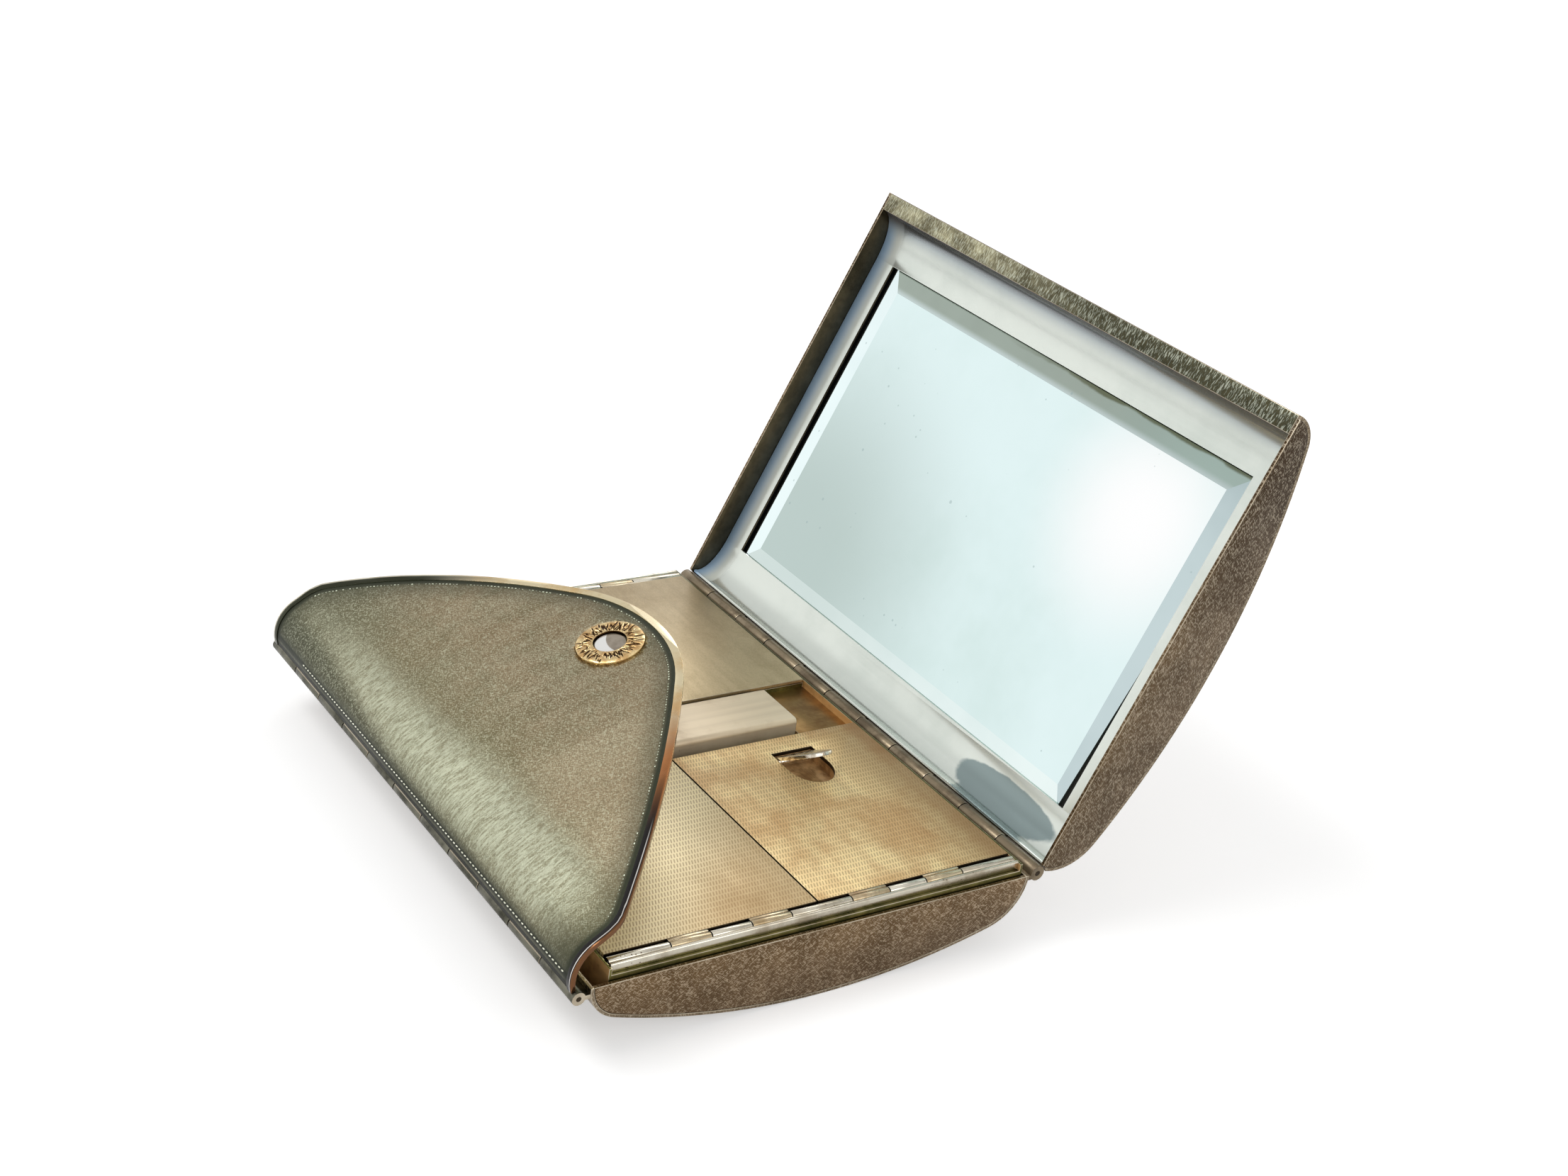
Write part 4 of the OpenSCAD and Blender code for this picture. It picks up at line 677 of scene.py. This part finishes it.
# faces that get a third finish: the insides of the end plates, in a darker silver that is painted shade, and the tray's
# front wall, in a paler gilt that is painted light
thirdFaces = {
    "base_end_near": ("shadedInnerSilver", lambda face: face.normal.x < -0.9),
    "base_end_far": ("shadedInnerSilver", lambda face: face.normal.x > 0.9),
    "lid_end_near": ("shadedInnerSilver", lambda face: face.normal.x < -0.9),
    "lid_end_far": ("shadedInnerSilver", lambda face: face.normal.x > 0.9),
    "tray_pan": ("litWallGilt", lambda face: face.normal.y < -0.9),
    "flap_hinge": ("edgeSilver", lambda face: abs(face.normal.x) > 0.7 and abs(face.center.x) > 0.084),
    "base_flap_hinge": ("edgeSilver", lambda face: abs(face.normal.x) > 0.7 and abs(face.center.x) > 0.084),
}
for hinge in ("tray_hinge_near", "tray_hinge_far", "far_cover_hinge", "front_cover_hinge", "back_cover_hinge"):
    darkFaces[hinge] = lambda face: abs(face.normal.y) > 0.7
for hinge in ("base_lid_hinge", "lid_hinge", "base_flap_hinge", "flap_hinge"):
    darkFaces[hinge] = lambda face: abs(face.normal.x) > 0.7 and abs(face.center.x) < 0.084


def shadeFaces(piece, nodeName):
    dark = darkFaces.get(nodeName)
    third = thirdFaces.get(nodeName)
    if third:
        piece.data.materials.append(made[third[0]])
    for face in piece.data.polygons:
        if dark and dark(face):
            face.material_index = 2
        elif third and third[1](face):
            face.material_index = 3


# the lipstick case's long edges are rounded less than the CAD's; heights are above the rim
stickSet = {"middle": -0.9, "half": 8.75, "top": 5.5, "wasRadius": 3.0, "radius": 1.4}


def sharpenStick(piece):
    shrink = stickSet["wasRadius"] - stickSet["radius"]
    for vertex in piece.data.vertices:
        spot = vertex.co / mm - rimCentre
        side = math.copysign(1, spot.x - stickSet["middle"])
        over = abs(spot.x - stickSet["middle"]) - stickSet["half"] + stickSet["wasRadius"]
        above = spot.z - stickSet["top"] + stickSet["wasRadius"]
        reach = math.hypot(over, above)
        if over > -0.001 and above > -0.001 and reach > shrink:
            scale = (reach - shrink) / reach
            spot.x = stickSet["middle"] + side * (stickSet["half"] - stickSet["radius"] + over * scale)
            spot.z = stickSet["top"] - stickSet["radius"] + above * scale
            vertex.co = (spot + rimCentre) * mm


# the mirror sits askew: its near side leaves a dark gap, widest at the foot, and its lower bevel is narrower
askewSet = {"edge": 72.0, "gap": 4.2, "foot": 33.5, "top": 116.0, "lowered": 2.2, "farGap": 1.6}


def setAskew(piece):
    uphill = Matrix.Rotation(-lidOpen, 3, "X") @ Vector((0, -1, 0))
    for vertex in piece.data.vertices:
        share = (vertex.co.z / mm - askewSet["foot"]) / (askewSet["top"] - askewSet["foot"])
        if vertex.co.x > askewSet["edge"] * mm:
            vertex.co.x -= askewSet["gap"] * (1 - max(0.0, min(1.0, share))) * mm
        elif vertex.co.x < -askewSet["edge"] * mm:
            vertex.co.x += askewSet["farGap"] * mm
        elif share < 0.5:
            vertex.co -= uphill * askewSet["lowered"] * mm


# the finger hole, its cup and its tab are narrower along Y than in the CAD
holeSet = {"share": 0.76, "wall": 0.8, "inside": 0.75}


def narrowHole(piece, nodeName):
    low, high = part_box("finger_cup")
    fixed = low.y + holeSet["wall"] * mm
    inside = holeSet["inside"] * mm
    for vertex in piece.data.vertices:
        spot = vertex.co
        within = all(low[i] + inside < spot[i] < high[i] - inside for i in (0, 1))
        if within or nodeName != "back_cover_plate":
            spot.y = fixed + (spot.y - fixed) * holeSet["share"]


def paintFacetReflections(piece):
    # the mirror's front is one plane with a bevel along each side
    mesh = piece.data
    main = max(mesh.polygons, key=lambda face: (round(face.area, 7), face.normal.z)).normal.copy()
    if main.z < 0:
        main = -main
    upward = (Vector((0, 0, 1)) - main * main.z).normalized()
    # each bevel gets its own finish, whose tone is a painted reflection
    for facet in ("top", "foot", "near", "far"):
        mesh.materials.append(made["mirror." + facet])
    for face in mesh.polygons:
        if 0.9 < face.normal.dot(main) < 0.9995:
            rise, east = face.normal.dot(upward), face.normal.x
            if abs(rise) > abs(east):
                face.material_index = 3 if rise > 0 else 4
            else:
                face.material_index = 5 if east > 0 else 6


for nodeName, (finish, edgeFinish, width) in dressed.items():
    piece = copyOf(nodeName, nodeName + ".dressed")
    piece.data.materials.append(made[finish])
    piece.data.materials.append(made[edgeFinish])
    piece.data.materials.append(made["gapShade"])
    if nodeName in ("lipstick_sleeve", "lipstick_cap"):
        sharpenStick(piece)
    if nodeName == "mirror_glass":
        setAskew(piece)
    if nodeName in ("back_cover_plate", "finger_cup", "thumb_tab", "tab_pin"):
        narrowHole(piece, nodeName)
    roundEdges(piece, width, smooth=4 if nodeName == "mirror_glass" else 28)
    shadeFaces(piece, nodeName)
    if nodeName == "mirror_glass":
        paintFacetReflections(piece)
    settle(piece, nodes[nodeName]["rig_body"], slots[nodeName], nodeName)
print("pieces dressed:", len(dressed))


def reshapeAlong(piece, change):
    # moves each vertex by its height and distance from the clasp's axis, in millimetres
    for vertex in piece.data.vertices:
        spot = vertex.co - claspSeat
        up = spot.dot(claspAxis)
        out = spot - up * claspAxis
        newUp, scale = change(up / mm, out.length / mm)
        vertex.co = claspSeat + newUp * mm * claspAxis + out * scale


def lowerButton(up, out):
    if up < 1:
        return up, 1.0
    share = (up - buttonSet["wasLow"]) / buttonSet["wasThick"]
    wide = buttonSet["radius"] / buttonSet["wasRadius"] if out > 2 else 1.0
    return buttonSet["low"] + share * buttonSet["thick"], wide


def lowerWasher(up, out):
    return buttonSet["washerLow"] + up / buttonSet["washerWasThick"] * buttonSet["washerThick"], 1.0


reshapeAlong(bpy.data.objects["clasp_button.dressed"], lowerButton)
reshapeAlong(bpy.data.objects["button_washer.dressed"], lowerWasher)


# The flap. Its shut shape in plan and profile is the CAD's, in millimetres
flapSet = {
    "tip": (0.0, -37.5), "tipRadius": 45.0, "sideRadius": 300.0, "corner": (84.0, -51.0), "cornerCut": 3.5,
    "noseMiddle": -54.7, "noseRadius": 10.2, "noseTurn": 70.0, "crownMiddle": (5.4, -165.08), "crownRadius": 185.88,
    "lowEdge": -2.04, "columns": 1.5, "rows": 1.5,
    "rimBead": {"in": 3.6, "pitch": 1.0, "size": (0.3, 0.2, 0.16), "stopAt": -54.0, "seed": 3,
                "sizes": (0, 0.5, 0.7, 0.9, 1.1)},
    "footBead": {"up": 4.8, "pitch": 1.45, "size": (0.5, 0.22, 0.17), "from": -64.0, "to": 80.0},
}


def flapToRest(point):
    # from the shut flap, in millimetres from the rim's middle, to where the photo has it, in metres
    spot = Vector(point) - flapHinge
    spot.rotate(Matrix.Rotation(flapOpen, 3, "X"))
    return (spot + flapHinge + rimCentre) * mm


def flapToShut(point):
    spot = Vector(point) / mm - rimCentre - flapHinge
    spot.rotate(Matrix.Rotation(-flapOpen, 3, "X"))
    return spot + flapHinge


def arcPoints(middle, radius, start, stop, count):
    return [(middle[0] + radius * math.cos(start + (stop - start) * i / count),
             middle[1] + radius * math.sin(start + (stop - start) * i / count)) for i in range(count + 1)]


def flapOutline(inset):
    # half of the outline in plan, from the tip round the corner and down to the hinge
    tip, corner = Vector(flapSet["tip"]), Vector(flapSet["corner"])
    small, large = flapSet["tipRadius"], flapSet["sideRadius"]
    gap = (corner - tip).length
    way = (corner - tip) / gap
    reach = ((large - small) ** 2 - large ** 2 + gap ** 2) / (2 * gap)
    across = math.sqrt((large - small) ** 2 - reach ** 2)
    middle = tip + reach * way + across * Vector((way.y, -way.x))
    turn = math.atan2(tip.y - middle.y, tip.x - middle.x)
    sideX = corner.x - inset
    sideY = middle.y + math.sqrt((large - inset) ** 2 - (sideX - middle.x) ** 2)
    stop = math.atan2(sideY - middle.y, sideX - middle.x) + flapSet["cornerCut"] / large
    points = arcPoints(tip, small - inset, math.pi / 2, turn, 60)
    points += arcPoints(middle, large - inset, turn, stop, 50)[1:]
    first, last = Vector(points[-1]), Vector((sideX, sideY - flapSet["cornerCut"]))
    for i in range(1, 9):
        k = i / 8
        points.append(tuple((1 - k) ** 2 * first + 2 * k * (1 - k) * Vector((sideX, sideY)) + k * k * last))
    return points + [(sideX, -72.0)]


def upTheFlap(y, z):
    # how far up the flap's outside a point lies, from its lower edge
    nose, turn = flapSet["noseRadius"], math.radians(flapSet["noseTurn"])
    if z < 0:
        return z - flapSet["lowEdge"]
    angle = math.atan2(z, flapSet["noseMiddle"] - y)
    if angle < turn:
        return -flapSet["lowEdge"] + nose * angle
    crown = flapSet["crownMiddle"]
    further = math.pi - turn - math.atan2(z - crown[1], y - crown[0])
    return -flapSet["lowEdge"] + nose * turn + flapSet["crownRadius"] * further


def flapPoint(up):
    # the outside's y, z and slope at a height up the flap
    nose, turn = flapSet["noseRadius"], math.radians(flapSet["noseTurn"])
    up += flapSet["lowEdge"]
    if up < 0:
        return flapSet["noseMiddle"] - nose, up, math.pi
    if up < nose * turn:
        angle = math.pi - up / nose
        return flapSet["noseMiddle"] + nose * math.cos(angle), nose * math.sin(angle), angle
    angle = math.pi - turn - (up - nose * turn) / flapSet["crownRadius"]
    crown, radius = flapSet["crownMiddle"], flapSet["crownRadius"]
    return crown[0] + radius * math.cos(angle), crown[1] + radius * math.sin(angle), angle


def distanceTo(points, spot):
    best = 1e9
    for first, last in zip(points, points[1:]):
        a, b = Vector(first), Vector(last)
        share = max(0.0, min(1.0, (spot - a).dot(b - a) / max((b - a).length_squared, 1e-12)))
        best = min(best, (spot - a - share * (b - a)).length)
    return best


def measureFlap(piece):
    # writes the two attributes that the flap's finishes read
    mesh = piece.data
    outline = flapOutline(0)
    edge = mesh.attributes.new("edgeDistance", "FLOAT", "POINT")
    along = mesh.attributes.new("alongFlap", "FLOAT", "POINT")
    for i, vertex in enumerate(mesh.vertices):
        shut = flapToShut(vertex.co)
        edge.data[i].value = distanceTo(outline, Vector((abs(shut.x), shut.y)))
        along.data[i].value = upTheFlap(shut.y, shut.z)


def cutRecess(piece):
    # a round recess under the ring, that the button sinks into
    depth = 4
    middle = claspSeat + claspAxis * (depth / 2 - buttonSet["recessDepth"]) * mm
    bpy.ops.object.select_all(action="DESELECT")
    bpy.ops.mesh.primitive_cylinder_add(vertices=96, radius=buttonSet["recess"] * mm, depth=depth * mm, location=middle,
                                        rotation=claspAxis.to_track_quat("Z", "Y").to_euler())
    cutter = bpy.context.active_object
    pick(piece)
    recess = piece.modifiers.new("recess", "BOOLEAN")
    recess.operation = "DIFFERENCE"
    recess.object = cutter
    bpy.ops.object.modifier_apply(modifier=recess.name)
    bpy.data.objects.remove(cutter)


def makeFlap():
    piece = copyOf("flap_shell", "flapSheet")
    cutRecess(piece)
    low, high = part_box("flap_shell")
    lean = Matrix.Rotation(flapOpen, 3, "X")
    bpy.ops.object.mode_set(mode="EDIT")
    cuts = [((low.x + flapSet["columns"] * mm * i, 0, 0), (1, 0, 0))
            for i in range(1, int((high.x - low.x) / mm / flapSet["columns"]) + 1)]
    cuts += [(flapToRest((0, -54 + flapSet["rows"] * i, 0)), lean @ Vector((0, 1, 0))) for i in range(41)]
    for spot, normal in cuts:
        bpy.ops.mesh.select_all(action="SELECT")
        bpy.ops.mesh.bisect(plane_co=spot, plane_no=normal)
    bpy.ops.mesh.select_all(action="SELECT")
    bpy.ops.mesh.quads_convert_to_tris()
    bpy.ops.object.mode_set(mode="OBJECT")
    bpy.ops.object.shade_smooth_by_angle(angle=math.radians(28))
    measureFlap(piece)
    piece.data.materials.clear()
    piece.data.materials.append(made["flapSilver"])
    piece.data.materials.append(made["flapInner"])
    for face in piece.data.polygons:
        shut = flapToShut(face.center)
        angle = flapPoint(upTheFlap(shut.y, shut.z))[2]
        out = lean @ Vector((0, math.cos(angle), math.sin(angle)))
        if face.normal.dot(out) < -0.4:
            face.material_index = 1
    settle(piece, "flap", "engraved_silver", "flap_shell")
    measureFlap(bpy.data.objects["flap_rim.dressed"])


def manyOf(piece, name, places):
    # one mesh that holds a copy of piece's shape at each place
    shape = bmesh.new()
    for place in places:
        first = len(shape.verts)
        shape.from_mesh(piece.data)
        shape.verts.ensure_lookup_table()
        bmesh.ops.transform(shape, matrix=place, verts=shape.verts[first:])
    mesh = bpy.data.meshes.new(name)
    shape.to_mesh(mesh)
    shape.free()
    bpy.data.objects.remove(piece)
    result = bpy.data.objects.new(name, mesh)
    bpy.context.scene.collection.objects.link(result)
    return result


def beadShape(size):
    bpy.ops.object.select_all(action="DESELECT")
    bpy.ops.mesh.primitive_ico_sphere_add(subdivisions=2, radius=1)
    bead = bpy.context.active_object
    bead.scale = [s * mm for s in size]
    bpy.ops.object.transform_apply(location=False, rotation=False, scale=True)
    bpy.ops.object.shade_smooth()
    return bead


def onFlap(x, up, heading):
    # a frame on the flap's outside: X along the row, Z out of the sheet
    y, z, angle = flapPoint(up)
    lean = Matrix.Rotation(flapOpen, 3, "X")
    out = lean @ Vector((0, math.cos(angle), math.sin(angle)))
    uphill = lean @ Vector((0, math.sin(angle), -math.cos(angle)))
    forward = (Vector((1, 0, 0)) * math.cos(heading) + uphill * math.sin(heading)).normalized()
    side = out.cross(forward)
    turned = Matrix((forward, side, out)).transposed().to_4x4()
    return Matrix.Translation(flapToRest((x, y, z))) @ turned


def makeBeads():
    # the milled line just inside the rim
    bead = flapSet["rimBead"]
    half = [p for p in flapOutline(bead["in"]) if p[1] > -60]
    path = [(-x, y) for x, y in reversed(half)] + half[1:]
    chance = random.Random(bead["seed"])
    places, left = [], 0.0
    for (ax, ay), (bx, by) in zip(path, path[1:]):
        length = math.hypot(bx - ax, by - ay)
        while left < length:
            x, y = ax + (bx - ax) * left / length, ay + (by - ay) * left / length
            if y > bead["stopAt"]:
                crown = flapSet["crownMiddle"]
                z = crown[1] + math.sqrt(flapSet["crownRadius"] ** 2 - (y - crown[0]) ** 2)
                size = chance.choice(bead["sizes"])
                if size:
                    places.append(onFlap(x, upTheFlap(y, z), math.atan2(by - ay, bx - ax)) @ Matrix.Scale(size, 4))
            left += bead["pitch"]
        left -= length
    row = manyOf(beadShape(bead["size"]), "rimBeads", places)
    row.data.materials.append(made["beadSilver"])
    settle(row, "flap", "engraved_silver")
    # the longer beads above the hinge
    bead = flapSet["footBead"]
    count = int((bead["to"] - bead["from"]) / bead["pitch"])
    places = [onFlap(bead["from"] + bead["pitch"] * i, bead["up"], 0.12) for i in range(count + 1)]
    row = manyOf(beadShape(bead["size"]), "footBeads", places)
    row.data.materials.append(made["litFootBeadSilver"])
    settle(row, "flap", "engraved_silver")
    print("beads made")


# The bark-textured ring round the button
ringSet = {"inner": 4.3, "outer": 8.7, "side": 0.75, "top": 1.15, "lip": 1.1, "steps": 288, "rings": 22,
           "gouges": 120, "deep": 0.42, "seed": 7}


def makeRing():
    # a flat ring, its top scored with short gouges that point outwards
    inner, outer = ringSet["inner"], ringSet["outer"]
    chance = random.Random(ringSet["seed"])
    gouges = []
    for i in range(ringSet["gouges"]):
        gouges.append({"turn": (i + chance.uniform(-0.35, 0.35)) * 2 * math.pi / ringSet["gouges"],
                       "far": inner + (outer - inner) * chance.uniform(0.15, 0.8), "slant": chance.uniform(-0.5, 0.5),
                       "long": chance.uniform(0.4, 1.2), "wide": chance.uniform(0.11, 0.2)})
    bpy.ops.object.select_all(action="DESELECT")
    bpy.ops.mesh.primitive_torus_add(major_radius=(inner + outer) / 2 * mm, minor_radius=(outer - inner) / 2 * mm,
                                     major_segments=ringSet["steps"], minor_segments=2 * ringSet["rings"])
    ring = bpy.context.active_object
    ring.name = "barkRing"
    depths = []
    for vertex in ring.data.vertices:
        x, y, z = vertex.co / mm
        turn = math.atan2(y, x)
        # the torus's section becomes a low box: foot, sides and a top that falls to the outer edge
        section = math.atan2(z, math.hypot(x, y) - (inner + outer) / 2)
        share = max(0.0, min(1.0, 0.5 + 0.62 * math.cos(section)))
        lift = max(0.0, min(1.0, 3.2 * math.sin(section)))
        crest = math.sin(math.pi * share) ** 0.6 if 0 < share < 1 else 0.0
        low = ringSet["lip"] + (ringSet["side"] - ringSet["lip"]) * share
        height = lift * (low + (ringSet["top"] - low) * crest)
        far = inner + (outer - inner) * share
        depth = 0.0
        if 0.06 < share < 0.97 and lift > 0.9:
            for gouge in gouges:
                across = ((turn - gouge["turn"] + math.pi) % (2 * math.pi) - math.pi) * far
                along = far - gouge["far"]
                if abs(across) < 1 and abs(along) < 2 * gouge["long"]:
                    across -= gouge["slant"] * along
                    depth = max(depth, math.exp(-(across / gouge["wide"]) ** 2 - (along / gouge["long"]) ** 4))
        if share < 0.02 and height < low - 0.05:
            depth = 1.0
        far += 0.12 * noise.noise(Vector((math.cos(turn) * 6, math.sin(turn) * 6, 4))) * max(0.0, share - 0.5)
        dip = depth * ringSet["deep"] if share > 0.02 else 0.0
        vertex.co = (math.cos(turn) * far * mm, math.sin(turn) * far * mm, (height - dip) * mm)
        depths.append(depth)
    turned = claspAxis.to_track_quat("Z", "Y").to_matrix().to_4x4()
    ring.data.transform(Matrix.Translation(claspSeat) @ turned)
    ring.data.materials.append(made["ringGold"])
    marks = ring.data.attributes.new("gouge", "FLOAT", "POINT")
    for i, depth in enumerate(depths):
        marks.data[i].value = depth
    ring.location = (0, 0, 0)
    pick(ring)
    bpy.ops.object.mode_set(mode="EDIT")
    bpy.ops.mesh.select_all(action="SELECT")
    bpy.ops.mesh.normals_make_consistent(inside=False)
    bpy.ops.object.mode_set(mode="OBJECT")
    bpy.ops.object.shade_smooth_by_angle(angle=math.radians(40))
    settle(ring, "flap", "gilt", "ornament_ring")
    print("ring made")


makeFlap()
makeBeads()
makeRing()
print("flap made")


# Camera, lamps and floor

cameraSet = {
    "place": (0.428307, -0.312191, 0.316852),
    "right": (0.5394, 0.8303, 0.1401),
    "up": (-0.4349, 0.1321, 0.8907),
    "back": (0.7211, -0.5414, 0.4324),
    "lens": 36 * 3250.3 / 2212,
}
cameraData = bpy.data.cameras.new("photoCamera")
cameraData.lens = cameraSet["lens"]
cameraData.sensor_width = 36
cameraData.clip_start = 0.01
camera = bpy.data.objects.new("photoCamera", cameraData)
axes = Matrix((cameraSet["right"], cameraSet["up"], cameraSet["back"])).transposed()
camera.matrix_world = Matrix.Translation(cameraSet["place"]) @ axes.to_quaternion().to_matrix().to_4x4()
bpy.context.scene.collection.objects.link(camera)
bpy.context.scene.camera = camera

lampSets = {
    "keyLamp": {"place": (-0.6, -1.3, 2.4), "size": (1.4, 1.0), "watts": 26},
    "fillLamp": {"place": (1.9, 0.3, 1.3), "size": (1.6, 1.2), "watts": 10},
    "backLamp": {"place": (-1.2, 1.6, 1.6), "size": (1.6, 0.8), "watts": 10},
}
for lampName, lampSet in lampSets.items():
    lampData = bpy.data.lights.new(lampName, "AREA")
    lampData.shape = "RECTANGLE"
    lampData.size, lampData.size_y = lampSet["size"]
    lampData.energy = lampSet["watts"]
    lamp = bpy.data.objects.new(lampName, lampData)
    lamp.location = lampSet["place"]
    aim = Vector((0, 0, 0.04)) - lamp.location
    lamp.rotation_euler = aim.to_track_quat("-Z", "Y").to_euler()
    bpy.context.scene.collection.objects.link(lamp)

# the camera sees plain white; metal sees it too, a little greyer above the horizon
studioSet = {"light": 0.45, "grey": 0.36, "greyFrom": 0.42, "greyFull": 0.62, "topFrom": 0.76, "topFull": 0.95,
             "floorGlow": 0.45, "floorGlint": 0.15, "floor": (0.8, 0.8, 0.8, 1.0)}
world = bpy.data.worlds.new("studio")
bpy.context.scene.world = world
world.use_nodes = True
tree = world.node_tree
rays = put(tree, "ShaderNodeLightPath").outputs
height = put(tree, "ShaderNodeSeparateXYZ", {0: put(tree, "ShaderNodeTexCoord").outputs["Generated"]}).outputs["Z"]
greyer = ranged(tree, height, studioSet["greyFrom"], studioSet["greyFull"], 1.0, 1.0 - studioSet["grey"])
brighter = ranged(tree, height, studioSet["topFrom"], studioSet["topFull"], 0.0, studioSet["grey"])
reflected = maths(tree, "ADD", greyer, brighter)
shown = maths(tree, "MAXIMUM", rays["Is Glossy Ray"], rays["Is Transmission Ray"])
strength = maths(tree, "ADD", studioSet["light"], maths(tree, "MULTIPLY", shown, maths(tree, "SUBTRACT", reflected,
                                                                                       studioSet["light"])))
strength = maths(tree, "MAXIMUM", strength, rays["Is Camera Ray"])
tree.nodes["Background"].inputs["Color"].default_value = (1, 1, 1, 1)
tree.links.new(strength, tree.nodes["Background"].inputs["Strength"])

bpy.ops.mesh.primitive_plane_add(size=16, location=(0, 0, -0.0001))
floor = bpy.context.active_object
floor.name = "floor"
bpy.ops.object.transform_apply(location=True, rotation=True, scale=True)
floorFinish, tree, shader = newMaterial("paleFloor")
grain = put(tree, "ShaderNodeTexNoise", {"Vector": objectPlace(tree), "Scale": 30.0, "Detail": 3.0}).outputs[0]
tree.links.new(blended(tree, grain, studioSet["floor"], (0.78, 0.78, 0.78, 1.0)), shader.inputs["Base Color"])
shader.inputs["Roughness"].default_value = 0.9
rays = put(tree, "ShaderNodeLightPath").outputs
glow = maths(tree, "MULTIPLY", maths(tree, "MAXIMUM", rays["Is Camera Ray"], rays["Is Transmission Ray"]),
             studioSet["floorGlow"])
glow = maths(tree, "MULTIPLY_ADD", rays["Is Glossy Ray"], studioSet["floorGlint"], glow)
shader.inputs["Emission Color"].default_value = (1, 1, 1, 1)
tree.links.new(glow, shader.inputs["Emission Strength"])
floor.data.materials.append(floorFinish)

scene = bpy.context.scene
scene.view_settings.view_transform = "Standard"
